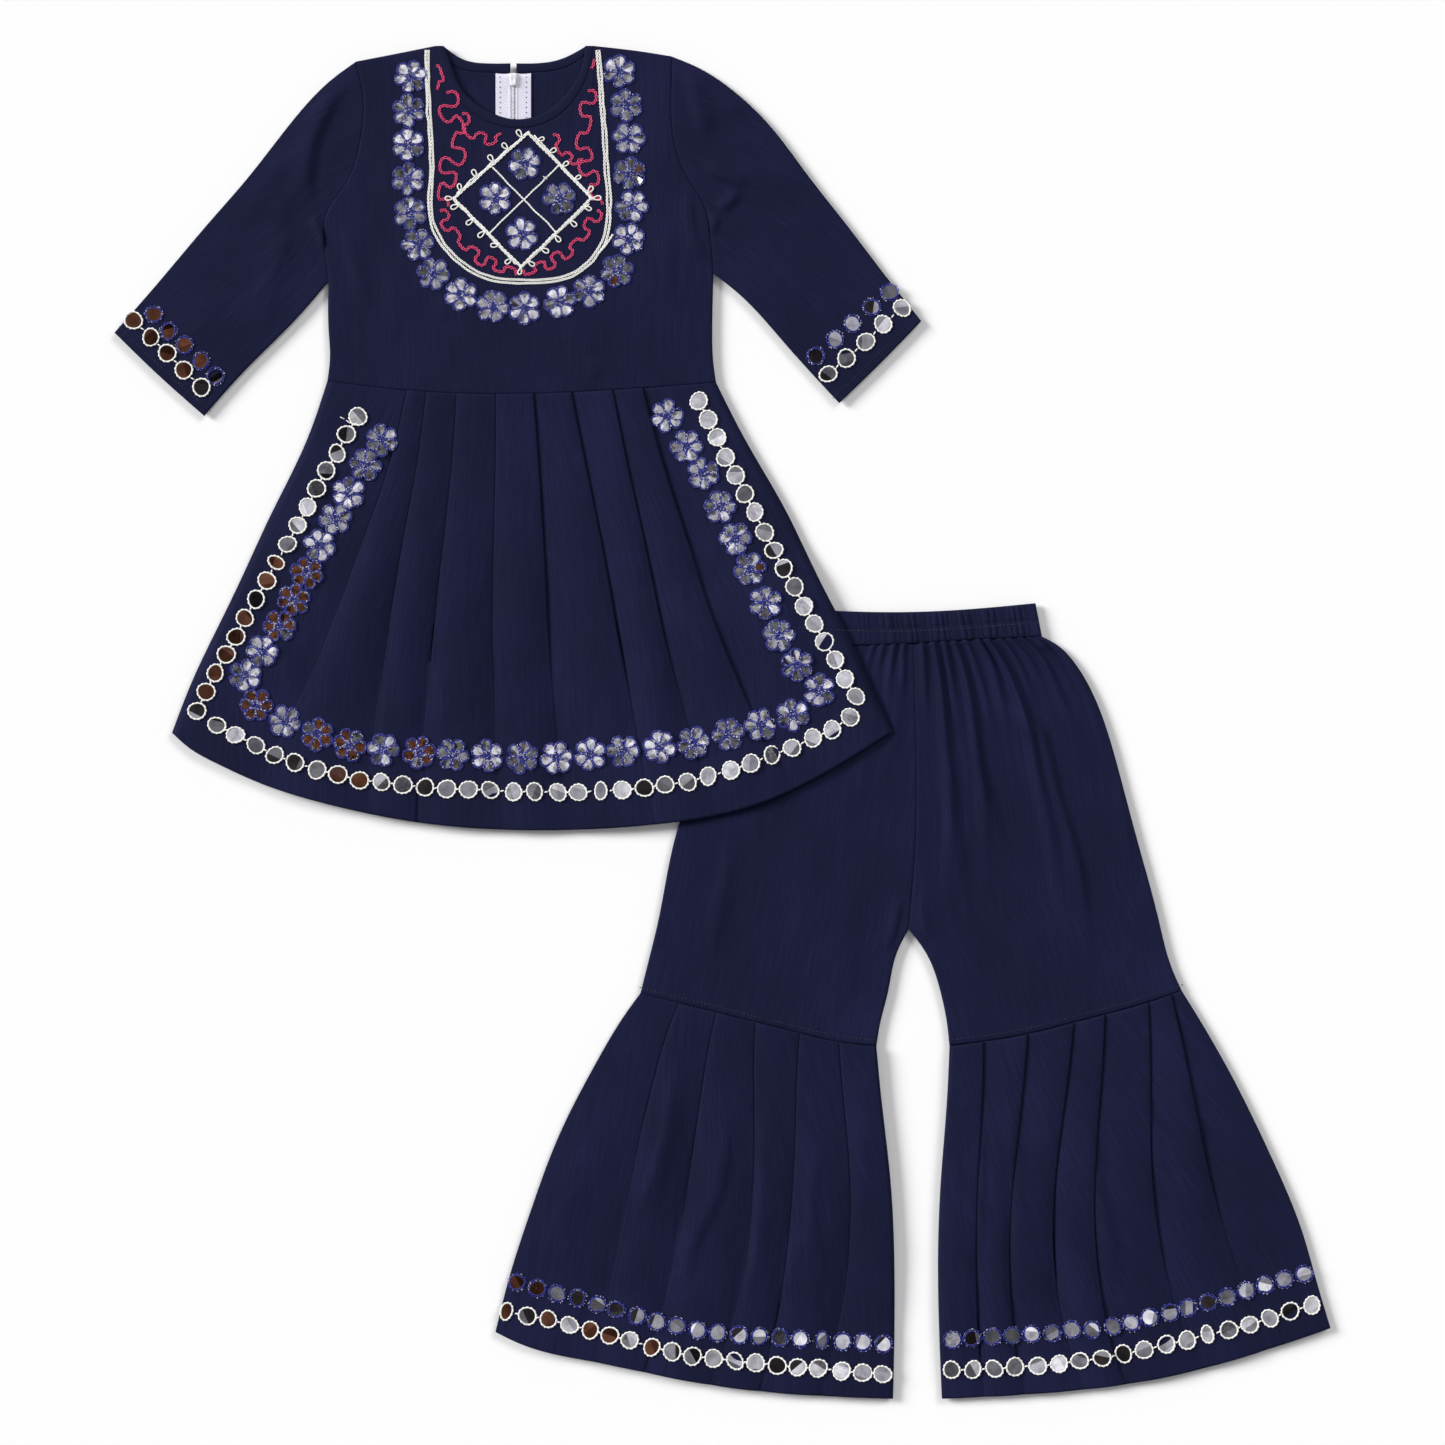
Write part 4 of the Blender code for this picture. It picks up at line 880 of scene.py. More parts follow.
def moulded_nylon():
    """Injection-moulded white nylon, smooth with a soft gloss and a slight blush of uneven cooling."""
    made, tree, shader = new_material("white moulded nylon", {
        "Roughness": 0.35, "IOR": 1.53, "Subsurface Weight": 0.1, "Subsurface Scale": 0.001})
    place = add(tree, "ShaderNodeTexCoord").outputs["Object"]
    blush = add(tree, "ShaderNodeTexNoise", {"Scale": 180.0}, {"Vector": place})
    tree.links.new(colours(tree, blush.outputs["Fac"], [(0.3, "#cfced6"), (0.7, "#e4e3ea")]),
                   shader.inputs["Base Color"])
    return made


def silvered_foil():
    """Discs of silvered plastic foil: bright, nearly smooth mirrors with faint scratches. The tone
    attribute paints reflections into the colour: it makes some discs or halves grey, nearly black or
    brown, as painted reflections of a room, and a noise darkens patches of each disc as painted reflection."""
    made, tree, shader = new_material("silvered foil mirror", {"Metallic": 1.0})
    # Painted reflection: the tone attribute sets dark, grey and brown colours for what a disc mirrors
    tone = add(tree, "ShaderNodeAttribute", {"attribute_name": "tone"}).outputs["Fac"]
    colour = colours(tree, tone, [(0.0, "#303034"), (0.12, "#2c1a13"), (0.24, "#6b4433"),
                                  (0.34, "#66666b"), (0.62, "#9d9ca4"), (1.0, "#eeecf3")])
    place = add(tree, "ShaderNodeTexCoord").outputs["Object"]
    # Painted reflection: a noise darkens the colour in patches, for what the disc mirrors
    reflection_cloud = add(tree, "ShaderNodeTexNoise", {"Scale": 120.0, "Detail": 1.0}, {"Vector": place})
    shade = add(tree, "ShaderNodeMapRange",
                {"From Min": 0.35, "From Max": 0.6, "To Min": 0.66, "To Max": 1.0},
                {"Value": reflection_cloud.outputs["Fac"]})
    reflection_clouded = add(tree, "ShaderNodeVectorMath", {"operation": "SCALE"},
                  {0: colour, "Scale": shade.outputs["Result"]})
    tree.links.new(reflection_clouded.outputs["Vector"], shader.inputs["Base Color"])
    haze = add(tree, "ShaderNodeTexNoise", {"Scale": 420.0, "Detail": 3.0}, {"Vector": place})
    rough = add(tree, "ShaderNodeMapRange", {"To Min": 0.05, "To Max": 0.22},
                {"Value": haze.outputs["Fac"]})
    tree.links.new(rough.outputs["Result"], shader.inputs["Roughness"])
    bumped(tree, shader, haze.outputs["Fac"], 0.08, 0.0004)
    return made


def thread_material(name, dark, light, roughness, strands):
    """Twisted embroidery thread: strands wind round it as alternate dark and light bands."""
    made, tree, shader = new_material(name, {
        "Roughness": roughness, "IOR": 1.5, "Specular IOR Level": 0.35,
        "Sheen Weight": 0.15, "Sheen Roughness": 0.4})
    place = add(tree, "ShaderNodeTexCoord").outputs["Object"]
    twist = add(tree, "ShaderNodeTexWave",
                {"Scale": 1.0, "Distortion": 3.0, "Detail": 1.0, "bands_direction": "DIAGONAL"},
                {"Vector": scaled(tree, place, (strands, strands, strands))})
    banded(tree, shader, twist, dark, light, 0.35, 0.0004)
    return made


RAYON = woven_rayon()
BINDING = bias_binding()
TAPE = woven_tape()
NYLON = moulded_nylon()
FOIL = silvered_foil()
# Mercerised cotton, bleached: bright white strands with a slight grey in the twist
WHITE_THREAD = thread_material("white cotton thread", "#cbcac4", "#fdfcf7", 0.6, 300.0)
# Rayon embroidery thread dyed royal blue: a silky gloss on a deep colour
BLUE_THREAD = thread_material("royal blue rayon thread", "#191d66", "#3b41a6", 0.42, 300.0)
# Rayon embroidery thread dyed rose pink
PINK_THREAD = thread_material("rose pink rayon thread", "#b01c4a", "#fa5688", 0.45, 300.0)
# Polyester sewing thread dyed to match the cloth, a little lighter than it
NAVY_THREAD = thread_material("navy sewing thread", "#0a0b1a", "#15172f", 0.8, 400.0)


def bodice_panel():
    """The front bodice in plan: shoulders and neck on top, armholes and sides, and the waist."""
    top = chained([SHOULDER_LEFT[::-1], NECK_FRONT_SEAM, SHOULDER_RIGHT], NECK_BREAKS)
    left = chained([ARMHOLE_LEFT, SIDE_LEFT], [ARMHOLE_BREAK])
    right = chained([ARMHOLE_RIGHT, SIDE_RIGHT], [ARMHOLE_BREAK])
    return Panel(top, smooth_line(WAIST), left, right)


def shares_through(breaks, steps):
    """Even shares from 0 to 1 in steps, with the breaks and a share close to each end among them."""
    ends = [SEAM_SHARE, 1 - SEAM_SHARE]
    return np.unique(np.concatenate([np.linspace(0, 1, steps + 1), breaks, ends]).round(6))


def bodice_front():
    """The front bodice, flat but for its creases and its rise over the zip."""
    panel = bodice_panel()
    downs = shares_through([ARMHOLE_BREAK], 90)
    widths = panel.widths(downs)
    line = flat_rows(shares_through(NECK_BREAKS, 120), widths, FRONT, 0.0)
    line[..., 1] += zip_loft(line[..., 0] / widths)
    made = cloth("bodice_front", RAYON, panel, downs, line, folds=BODICE_FOLDS, sink=(0.6, 1, 1, 1))


def bodice_back(name, is_left):
    """Half of the back, from its shoulder and neck seam down to the waist, open over the zip."""
    waist = smooth_line(WAIST)
    spread = np.linspace(0, 1, 400)
    middle = float(np.interp(ZIP_X, waist(spread)[:, 0], spread))
    centre = smooth_line([(ZIP_X, NECK_BACK_SEAM_LEFT[-1][1]), (ZIP_X, float(waist(middle)[1]))])
    low, high = (0.0, middle) if is_left else (middle, 1.0)

    def foot(share):
        """The stretch of the waist that lies below this half."""
        return waist(low + (high - low) * np.asarray(share, float))

    if is_left:
        top = chained([SHOULDER_LEFT[::-1], NECK_BACK_SEAM_LEFT], [BACK_NECK_BREAK])
        panel = Panel(top, foot, chained([ARMHOLE_LEFT, SIDE_LEFT], [ARMHOLE_BREAK]), centre)
    else:
        top = chained([NECK_BACK_SEAM_RIGHT, SHOULDER_RIGHT], [1 - BACK_NECK_BREAK])
        panel = Panel(top, foot, centre, chained([ARMHOLE_RIGHT, SIDE_RIGHT], [ARMHOLE_BREAK]))
    downs = shares_through([ARMHOLE_BREAK], 50)
    widths = panel.widths(downs)
    slit = (SLIT_HALF * (1 - eased(downs, 0.0, SLIT_LENGTH)))[:, None]
    shares = shares_through([BACK_NECK_BREAK], 40)
    across = shares[None, :] * (widths - slit) + (0 if is_left else slit)
    line = np.stack([across, np.full_like(across, BACK)], axis=2)
    made = cloth(name, RAYON, panel, downs, line, sink=(0, 0, 0, 0))


def bodice():
    """The kurti's bodice: two back halves with the front over them."""
    bodice_back("bodice_back_left", True)
    bodice_back("bodice_back_right", False)
    bodice_front()


def sleeve(name, panel, folds):
    """A sleeve folded flat into a tube, creased at the underarm."""
    downs = shares_through([], 68)
    widths = panel.widths(downs)
    inset = WALL / 2 + LAYER / 2
    shares = np.linspace(0, 1, 54)
    across = inset + shares[None, :] * (widths - 2 * inset)
    front = np.stack([across, np.full_like(across, BACK + LAYER)], axis=2)
    line = ringed(front, widths, 28, WALL, LAYER, BACK)
    made = cloth(name, RAYON, panel, downs, line, closed=True, folds=folds, sink=(1, 0, 0, 0),
                 top_columns=front.shape[1])


def sleeves():
    """Both sleeves, each from its armhole to its cuff."""
    left = panel_through(ARMHOLE_LEFT, CUFF_LEFT, SLEEVE_LEFT_TOP, SLEEVE_LEFT_UNDER)
    right = panel_through(ARMHOLE_RIGHT, CUFF_RIGHT, SLEEVE_RIGHT_TOP, SLEEVE_RIGHT_UNDER)
    sleeve("sleeve_left", left, SLEEVE_LEFT_FOLDS)
    sleeve("sleeve_right", right, SLEEVE_RIGHT_FOLDS)


def skirt():
    """The kurti's skirt: a plain back and a pleated front, both rising over the sharara's waist."""
    panel = panel_through(WAIST, SKIRT_HEM, SKIRT_LEFT, SKIRT_RIGHT)
    downs = shares_through(LIFT_DOWN, 50)
    line = flat_rows(shares_through(LIFT_ACROSS, 70), panel.widths(downs), BACK, 0.0)
    back = cloth("skirt_back", RAYON, panel, downs, line, lift=overlap_lift, sink=(0, 0, 0, 0))
    downs = shares_through(LIFT_DOWN, 92)
    line, painted_gap_shades = pleated(SKIRT_PLEATS, downs, panel.widths(downs), FRONT, 0.0, 12)
    front = cloth("skirt_front", RAYON, panel, downs, line, lift=overlap_lift, folds=SKIRT_FOLDS,
                  sink=(1, 0, 1, 1), painted_gap_shades=painted_gap_shades)


def binding(name, seam, edge, steps, height, ends):
    """A narrow rolled strip between the neck seam and the neck edge: a crowned wall, thin at its sides."""
    panel = panel_through(edge, seam, [edge[0], seam[0]], [edge[-1], seam[-1]])
    downs = np.linspace(0, 1, 9)
    widths = panel.widths(downs)
    shares = np.linspace(0, 1, steps)
    across = ends[0] + shares[None, :] * (widths - ends[0] - ends[1])
    crown = 0.7 * np.sqrt(np.clip(1 - (2 * downs - 1) ** 2, 0, 1))[:, None]
    line = np.stack([across, height(shares)[None, :] + crown + 0 * across], axis=2)
    return cloth(name, BINDING, panel, downs, line, sink=(0, 0, 0, 0))


def neck():
    """The narrow binding round the neck, in one piece in front and two behind."""
    low, high = NECK_BREAKS
    front = binding("neck_binding_front", NECK_FRONT_SEAM, NECK_FRONT_EDGE, 120,
                    lambda share: FRONT - 0.2 + zip_loft(low + (high - low) * share), (0.0, 0.0))
    left = binding("neck_binding_back_left", NECK_BACK_SEAM_LEFT, NECK_BACK_EDGE_LEFT, 40,
                   lambda share: np.full(len(share), BACK), (0.0, SLIT_HALF))
    right = binding("neck_binding_back_right", NECK_BACK_SEAM_RIGHT, NECK_BACK_EDGE_RIGHT, 40,
                    lambda share: np.full(len(share), BACK), (SLIT_HALF, 0.0))


def waistband():
    """The elastic casing: a flattened ring with uneven ribs, pinched along its row of stitches.

    Its front rises by height * |sin|^0.8 at each rib. Slow sines shift and slant the ribs and vary
    their height, and a bell about the row of stitches takes three quarters of it away.
    """
    panel = panel_through(BAND_TOP, BAND_SEAM, [BAND_TOP[0], BAND_SEAM[0]], [BAND_TOP[-1], BAND_SEAM[-1]])
    downs = np.linspace(0, 1, 17)
    widths = panel.widths(downs)
    inset = BAND_WALL / 2 + BAND_LAYER / 2
    shares = np.linspace(0, 1, BAND_RIBS * RIB_STEPS)
    across = inset + shares[None, :] * (widths - 2 * inset)
    warp = shares + 0.006 * np.sin(shares * 41) + 0.004 * np.sin(shares * 97 + 1.0)
    slant = 0.006 * np.sin(shares * 23 + 0.5)[None, :] * (downs[:, None] - 0.5)
    ribs = np.abs(np.sin(math.pi * BAND_RIBS * (warp[None, :] + slant))) ** 0.8
    tall = 0.75 + 0.45 * np.sin(shares * 61 + 2.0)
    channel = 1 - 0.75 * np.exp(-((downs[:, None] - PINCH) / PINCH_REACH) ** 2)
    rim = eased(np.minimum(downs, 1 - downs), 0.0, 0.14)[:, None] * 0.6 + 0.4
    clear = clear_of_kurti(panel.at(across / widths, downs[:, None]))
    height = BAND_BACK + BAND_LAYER + RIB_HEIGHT * ribs * tall[None, :] * channel * rim * clear
    front = np.stack([across, height], axis=2)
    line = ringed(front, widths, 30, BAND_WALL, BAND_LAYER, BAND_BACK)
    made = cloth("waistband", RAYON, panel, downs, line, wall=BAND_WALL, closed=True, sink=(0, 0, 0, 0),
                 top_columns=front.shape[1])


def gathered(table, downs, widths, low, shares):
    """A gathered panel's section: a rounded ridge, height * cos^2, at each gather, dying out downwards."""
    across = shares[None, :] * widths
    height = np.full_like(across, low)
    down = downs[:, None]
    for row in table:
        gather = dict(zip(GATHER_COLUMNS, row))
        crest = (gather["top"] + (gather["foot"] - gather["top"]) * down)
        crest = crest + 0.004 * np.sin(down * 19 + 40 * gather["top"])
        spread = 0.032 + 0.03 * down
        fade = 1 - eased(down, GATHER_HOLD * gather["length"], gather["length"])
        near = np.clip(np.abs(shares[None, :] - crest) / spread, 0.0, 1.0)
        height = height + GATHER_RISE * gather["height"] * fade * np.cos(near * math.pi / 2) ** 2
    return np.stack([across, height], axis=2)


def thighs():
    """Each leg from the waistband's seam to the knee: a plain back and a gathered front."""
    inner_left = chained([CENTRE_SEAM, INNER_LEFT], [CROTCH_BREAK])
    inner_right = chained([CENTRE_SEAM, INNER_RIGHT], [CROTCH_BREAK])
    left = Panel(smooth_line(BAND_SEAM_LEFT), smooth_line(KNEE_LEFT), smooth_line(HIP_LEFT),
                 inner_left)
    right = Panel(smooth_line(BAND_SEAM_RIGHT), smooth_line(KNEE_RIGHT), inner_right,
                  smooth_line(HIP_RIGHT))
    for side, panel, gathers, folds in (("left", left, THIGH_LEFT_GATHERS, THIGH_LEFT_FOLDS),
                                        ("right", right, THIGH_RIGHT_GATHERS, THIGH_RIGHT_FOLDS)):
        downs = shares_through([CROTCH_BREAK], 44)
        line = flat_rows(np.linspace(0, 1, 50), panel.widths(downs), BACK, 0.0)
        back = cloth(f"thigh_{side}_back", RAYON, panel, downs, line, sink=(0, 0, 0, 0))
        downs = shares_through([CROTCH_BREAK], 84)
        widths = panel.widths(downs)
        shares = np.linspace(0, 1, 116)
        line = gathered(gathers, downs, widths, FRONT, shares)
        clear = clear_of_kurti(panel.at(shares[None, :], downs[:, None]))
        line[..., 1] = FRONT + (line[..., 1] - FRONT) * clear
        front = cloth(f"thigh_{side}_front", RAYON, panel, downs, line, folds=folds)


def flares():
    """The pleated flares from the knee to the hem, each a tube laid flat."""
    left = panel_through(KNEE_LEFT, HEM_LEFT, FLARE_LEFT_OUTER, FLARE_LEFT_INNER)
    right = panel_through(KNEE_RIGHT, HEM_RIGHT, FLARE_RIGHT_INNER, FLARE_RIGHT_OUTER)
    inset = WALL / 2 + LAYER / 2
    for side, panel, pleats, folds in (("left", left, FLARE_LEFT_PLEATS, FLARE_LEFT_FOLDS),
                                       ("right", right, FLARE_RIGHT_PLEATS, FLARE_RIGHT_FOLDS)):
        downs = shares_through([], 76)
        widths = panel.widths(downs)
        front, painted_gap_shades = pleated(pleats, downs, widths, BACK + LAYER, inset, 14)
        line = ringed(front, widths, 50, WALL, LAYER, BACK)
        made = cloth(f"flare_{side}", RAYON, panel, downs, line, closed=True, folds=folds,
                     sink=(1, 0, 0, 0), top_columns=front.shape[1], painted_gap_shades=painted_gap_shades)


# Embroidery, in millimetres. MIRROR_TILT is the usual slope of half a disc.
MIRROR_RADIUS = 6.2
BLUE_MIRROR_RADIUS = 5.8
MIRROR_SCATTER = 0.4
MIRROR_LIFT = 0.45
MIRROR_TILT = 0.05
FLOWER_RADIUS = 12.6
FLOWER_SCATTER = 0.6
PETALS = 6
PETAL_MIDDLE = 7.7
PETAL_HALF_LENGTH = 3.9
PETAL_HALF_WIDTH = 3.05
PETAL_SCATTER = 0.25

# A thread ring round a mirror: its radius, the thread's own radius, how many stitches it has, how far
# each one bulges, and how high it lies
RING_COLUMNS = ("radius", "thread", "stitches", "bulge", "lift")
WHITE_RING = (6.6, 0.74, 13, 0.35, 0.75)
BLUE_RINGS = [(5.7, 0.36, 11, 0.4, 0.75), (6.3, 0.28, 12, 1.2, 0.5)]

# Scalloped threads round a petal: how far out, how many scallops, the thread's radius, and its height
SCALLOPS = [(0.1, 5, 0.36, 0.55), (1.0, 7, 0.28, 0.4)]

# Spokes in a flower's middle: the angle from each petal, and where the spoke starts and ends
SPOKES = [(0.0, 0.3, 3.8), (math.pi / PETALS, 0.4, 6.5)]
SPOKE_SWAY = [0.0, 0.3, -0.25, 0.0]
SPOKE_HEIGHT = [0.7, 0.6, 0.4, 0.2]

# Tones of the foil's colour: bright silver, then painted reflections from grey to nearly black, and
# how often each half of a disc has them
FOIL_AND_REFLECTION_TONES = [1.0, 0.84, 0.62, 0.42, 0.03]
ONE_HALF = [0.20, 0.20, 0.24, 0.20, 0.16]
OTHER_HALF = [0.16, 0.18, 0.24, 0.22, 0.20]

# Where the foil is painted mostly brown, as a reflection: a place in plan and how far its brown reaches
BROWN_REFLECTION_SPOTS = [((-440, 290), 70.0), ((-395, 45), 80.0), ((-300, -40), 60.0), ((-150, -455), 70.0)]

# Rows of mirrors: the middle of the row in plan, how many mirrors, and the thread round them
MIRROR_ROW_COLUMNS = ("path", "count", "thread")
MIRROR_ROWS = [
    ([(-284, 239), (-316, 182), (-347, 124), (-388, 51), (-409, 9)], 17, "white"),
    ([(-394, -2), (-356, -22), (-311, -38), (-254, -48), (-181, -53), (-102, -54), (-29, -46),
      (27, -30), (73, -12), (100, 4)], 31, "white"),
    ([(-19, 251), (11, 191), (41, 133), (79, 64), (104, 20)], 17, "white"),
    ([(-459, 313), (-433, 288), (-406, 261)], 5, "white"),
    ([(140, 323), (113, 298), (82, 271)], 5, "white"),
    ([(-443, 318), (-417, 292), (-395, 269)], 5, "blue"),
    ([(130, 336), (103, 312), (73, 286)], 5, "blue"),
    ([(-160, -437), (-93, -454), (-31, -471), (32, -478), (125, -484)], 19, "blue"),
    ([(-168, -459), (-96, -475), (-35, -491), (29, -499), (125, -508)], 19, "white"),
    ([(179, -480), (252, -475), (315, -468), (375, -452), (453, -430)], 19, "blue"),
    ([(178, -504), (252, -500), (319, -490), (381, -476), (459, -454)], 18, "white"),
]

# Borders of mirror flowers: the middle of the border in plan, and how many flowers
FLOWER_ROW_COLUMNS = ("path", "count")
FLOWER_ROWS = [
    ([(-243, 503), (-244, 447), (-242, 391), (-220, 344), (-174, 323), (-127, 327), (-82, 353), (-71, 401),
      (-74, 453), (-80, 507)], 19),
    ([(-266, 220), (-301, 161), (-332, 98), (-372, 36)], 10),
    ([(-364, 14), (-326, -6), (-272, -20), (-207, -25), (-135, -27), (-65, -21), (-1, -11), (55, 7)], 17),
    ([(-43, 239), (-1, 167), (35, 89), (58, 44), (76, 24)], 10),
]
YOKE_FLOWERS = [(-154, 435), (-177, 408), (-127, 408), (-156, 380)]

# The yoke: two chain lines in a U, a diamond quartered by a cross, and daisies along its sides
YOKE_LINE = [(-231, 524), (-230, 480), (-228, 421), (-229, 397), (-220, 373), (-202, 355), (-183, 345),
             (-155, 342), (-123, 345), (-103, 357), (-91, 375), (-88, 421), (-92, 473), (-96, 524)]
YOKE_LINE_GAPS = [1.7, 2.5, 2.7, 2.5, 1.9]
YOKE_STUB = [(-97, 365), (-91, 372), (-85.5, 380.5)]
LOOSE_END = [(-284, 233), (-289, 233), (-294, 236), (-298, 238)]
DIAMOND = [(-151, 459), (-102, 408), (-157, 355), (-209, 408)]
CROSS = [[(-181, 434), (-130, 382)], [(-127, 434), (-182, 381)]]
CROSS_KNOT = (-138, 424)
DAISIES_A_SIDE = 5
DAISY_LENGTH = 5.4
DAISY_HALF_WIDTH = 2.0

# Chain stitch: the distance between a strand's points, and how far and how often the line strays
CHAIN_STEP = 0.6
STRAY = 0.25
STRAY_PITCH = 7.0

# Meandering pink lines: the guide each one swings about, how often, and how far
MEANDER_COLUMNS = ("guide", "waves", "swing")
MEANDERS = [
    ([(-223, 511), (-219, 502), (-221, 493)], 0.8, 2.2),
    ([(-215, 490), (-212, 474), (-204, 458), (-210, 438), (-214, 424), (-219, 402)], 4.2, 9.0),
    ([(-203, 474), (-196, 458), (-186, 454), (-171, 456)], 2.2, 5.0),
    ([(-220, 398), (-210, 382), (-198, 369), (-182, 358), (-158, 350)], 4.6, 5.0),
    ([(-98, 398), (-107, 381), (-119, 368), (-136, 357), (-157, 350)], 4.6, 5.0),
    ([(-105, 492), (-106, 470), (-109, 448), (-103, 428), (-97, 402)], 4.2, 7.0),
    ([(-132, 457), (-127, 447), (-118, 438), (-108, 436)], 2.2, 3.6),
    ([(-100, 517), (-101, 513), (-102, 509)], 0.5, 0.6),
]

# Rows of topstitching in the cloth's own thread: the path in plan
TOPSTITCHES = [
    [(x, y + 4.5) for x, y in KNEE_LEFT],
    [(x, y + 4.5) for x, y in KNEE_RIGHT],
    [(x + 4.4, y + 4.2) for x, y in CUFF_LEFT],
    [(x - 4.4, y + 4.2) for x, y in CUFF_RIGHT],
    [(x, y - 15.0) for x, y in BAND_TOP],
]
STITCH_LENGTH = 2.1
STITCH_PITCH = 3.0
STITCH_ARCH = [-0.2, 0.16, 0.22, 0.16, -0.2]

random = np.random.default_rng(4183)


def turned(points, angle):
    """Points turned about z by an angle, for every angle in an array: a rotation in plan."""
    cos = np.cos(angle)[:, None]
    sin = np.sin(angle)[:, None]
    across = points[..., 0] * cos - points[..., 1] * sin
    along_it = points[..., 0] * sin + points[..., 1] * cos
    return np.stack([across, along_it, np.broadcast_to(points[..., 2], across.shape)], axis=2)


def seats(centres, reach):
    """For each centre the plane that best fits the relief around it, raised to clear what stands out.

    Least squares over a disc of places: height = base + slope_x * dx + slope_y * dy.
    """
    turns = np.linspace(0, 2 * math.pi, 12, endpoint=False)
    circle = np.stack([np.cos(turns), np.sin(turns)], axis=1)
    places = np.concatenate([[[0.0, 0.0]], circle * reach / 2, circle * reach])
    height = relief.at(centres[:, None, :] + places)
    system = np.column_stack([np.ones(len(places)), places])
    plane = height @ np.linalg.pinv(system).T
    excess = (height - plane @ system.T).max(axis=1)
    plane[:, 0] += excess
    return plane


def set_out(template, centres, angles, planes, lift, scales=None):
    """Copies of a template on their seats: turned, moved to the centre and laid on the fitted plane."""
    scales = np.ones(len(centres)) if scales is None else scales
    template = np.broadcast_to(template, (len(centres),) + template.shape[-2:])
    points = turned(template * scales[:, None, None], angles)
    slope = planes[:, 1:2] * points[..., 0] + planes[:, 2:3] * points[..., 1]
    points[..., 2] += planes[:, :1] + slope + lift
    points[..., :2] += centres[:, None, :]
    return points


def copies(faces, count, size):
    """One template's faces repeated for every copy of its points."""
    return (faces[None] + (np.arange(count) * size)[:, None, None]).reshape(-1, faces.shape[1])


def tubes(paths, radius, sides, closed, flat=1.0):
    """Round threads along paths (threads x steps x 3): a circle carried along each path.

    The circle stands on the path's sideways and upward directions; flat squashes it downwards, and
    radius may vary from step to step. Open ends are drawn in to a point.
    """
    ahead = np.roll(paths, -1, axis=1) - paths
    behind = paths - np.roll(paths, 1, axis=1)
    if not closed:
        ahead[:, -1] = behind[:, -1]
        behind[:, 0] = ahead[:, 0]
    way = ahead + behind
    way /= np.maximum(np.linalg.norm(way, axis=2, keepdims=True), 1e-9)
    aside = np.stack([-way[..., 1], way[..., 0], np.zeros(way.shape[:2])], axis=2)
    aside /= np.maximum(np.linalg.norm(aside, axis=2, keepdims=True), 1e-9)
    up = np.cross(way, aside)
    radius = np.array(np.broadcast_to(radius, paths.shape[:2]), float)
    if not closed:
        radius[:, [0, -1]] *= 0.25
    turns = np.linspace(0, 2 * math.pi, sides, endpoint=False)
    ring = radius[..., None, None] * (np.cos(turns)[:, None] * aside[:, :, None, :]
                                      + flat * np.sin(turns)[:, None] * up[:, :, None, :])
    points = (paths[:, :, None, :] + ring).reshape(-1, 3)
    steps = paths.shape[1]
    here = np.arange(steps if closed else steps - 1)[:, None]
    step = here * sides
    after = (here + 1) % steps * sides
    side = np.arange(sides)[None, :]
    next_side = (side + 1) % sides
    faces = np.stack([step + side, step + next_side, after + next_side, after + side], axis=2)
    faces = faces.reshape(-1, 4)
    if not closed:
        cap = cap_faces(sides)
        faces = np.concatenate([faces, cap + (steps - 1) * sides, cap[:, ::-1]])
    return points, copies(faces, len(paths), steps * sides)


def gather_parts(parts):
    """Several (points, faces) joined into one."""
    points, faces, start = [], [], 0
    for part_points, part_faces in parts:
        points.append(part_points.reshape(-1, 3))
        faces.append(part_faces + start)
        start += len(points[-1])
    return np.concatenate(points), np.concatenate(faces)


def even_places(path, count):
    """Places evenly spaced along a smooth line, and the line's angle at each."""
    line = smooth_line(path)
    fine = line(np.linspace(0, 1, 600))
    run = np.concatenate([[0.0], np.cumsum(np.linalg.norm(np.diff(fine, axis=0), axis=1))])
    wanted = np.linspace(0.0, run[-1], count)
    places = np.stack([np.interp(wanted, run, fine[:, 0]), np.interp(wanted, run, fine[:, 1])], axis=1)
    return places, heading(np.gradient(places, axis=0))


def along(path, step):
    """A smooth line in plan as points about a step apart."""
    line = smooth_line(path)
    fine = line(np.linspace(0, 1, 400))
    length = np.linalg.norm(np.diff(fine, axis=0), axis=1).sum()
    return even_places(path, max(int(length / step), 4))[0]


def on_cloth(plan, lift):
    """Plan places raised to lie on the cloth, evened a little so that a thread bridges hollows."""
    height = relief.at(plan)
    kernel = np.array([1.0, 2.0, 3.0, 2.0, 1.0]) / 9
    padded = np.pad(height, 2, mode="edge")
    height = np.maximum(np.convolve(padded, kernel, mode="valid"), height - 0.1)
    return np.column_stack([plan, height + lift])


def chain_stitch(path, link, half_width, thread):
    """A line of chain stitch: two strands that part and meet once a link, half_width * |sin|^0.8."""
    plan = along(path, CHAIN_STEP)
    aside = left_of(unit(np.gradient(plan, axis=0)))
    run = np.arange(len(plan)) * CHAIN_STEP
    knots = np.arange(0, run[-1] + 2 * STRAY_PITCH, STRAY_PITCH)
    drift = np.interp(run, knots, random.normal(0, STRAY, len(knots)))
    plan = plan + drift[:, None] * aside
    wave = np.abs(np.sin(math.pi * run / link))
    parted = half_width * wave ** 0.8 + 0.12
    swell = thread * (0.85 + 0.3 * wave)
    strands = []
    for side in (-1, 1):
        strand = on_cloth(plan + side * parted[:, None] * aside, thread * 0.7)
        strands.append(tubes(strand[None], swell[None], 5, False))
    return gather_parts(strands)


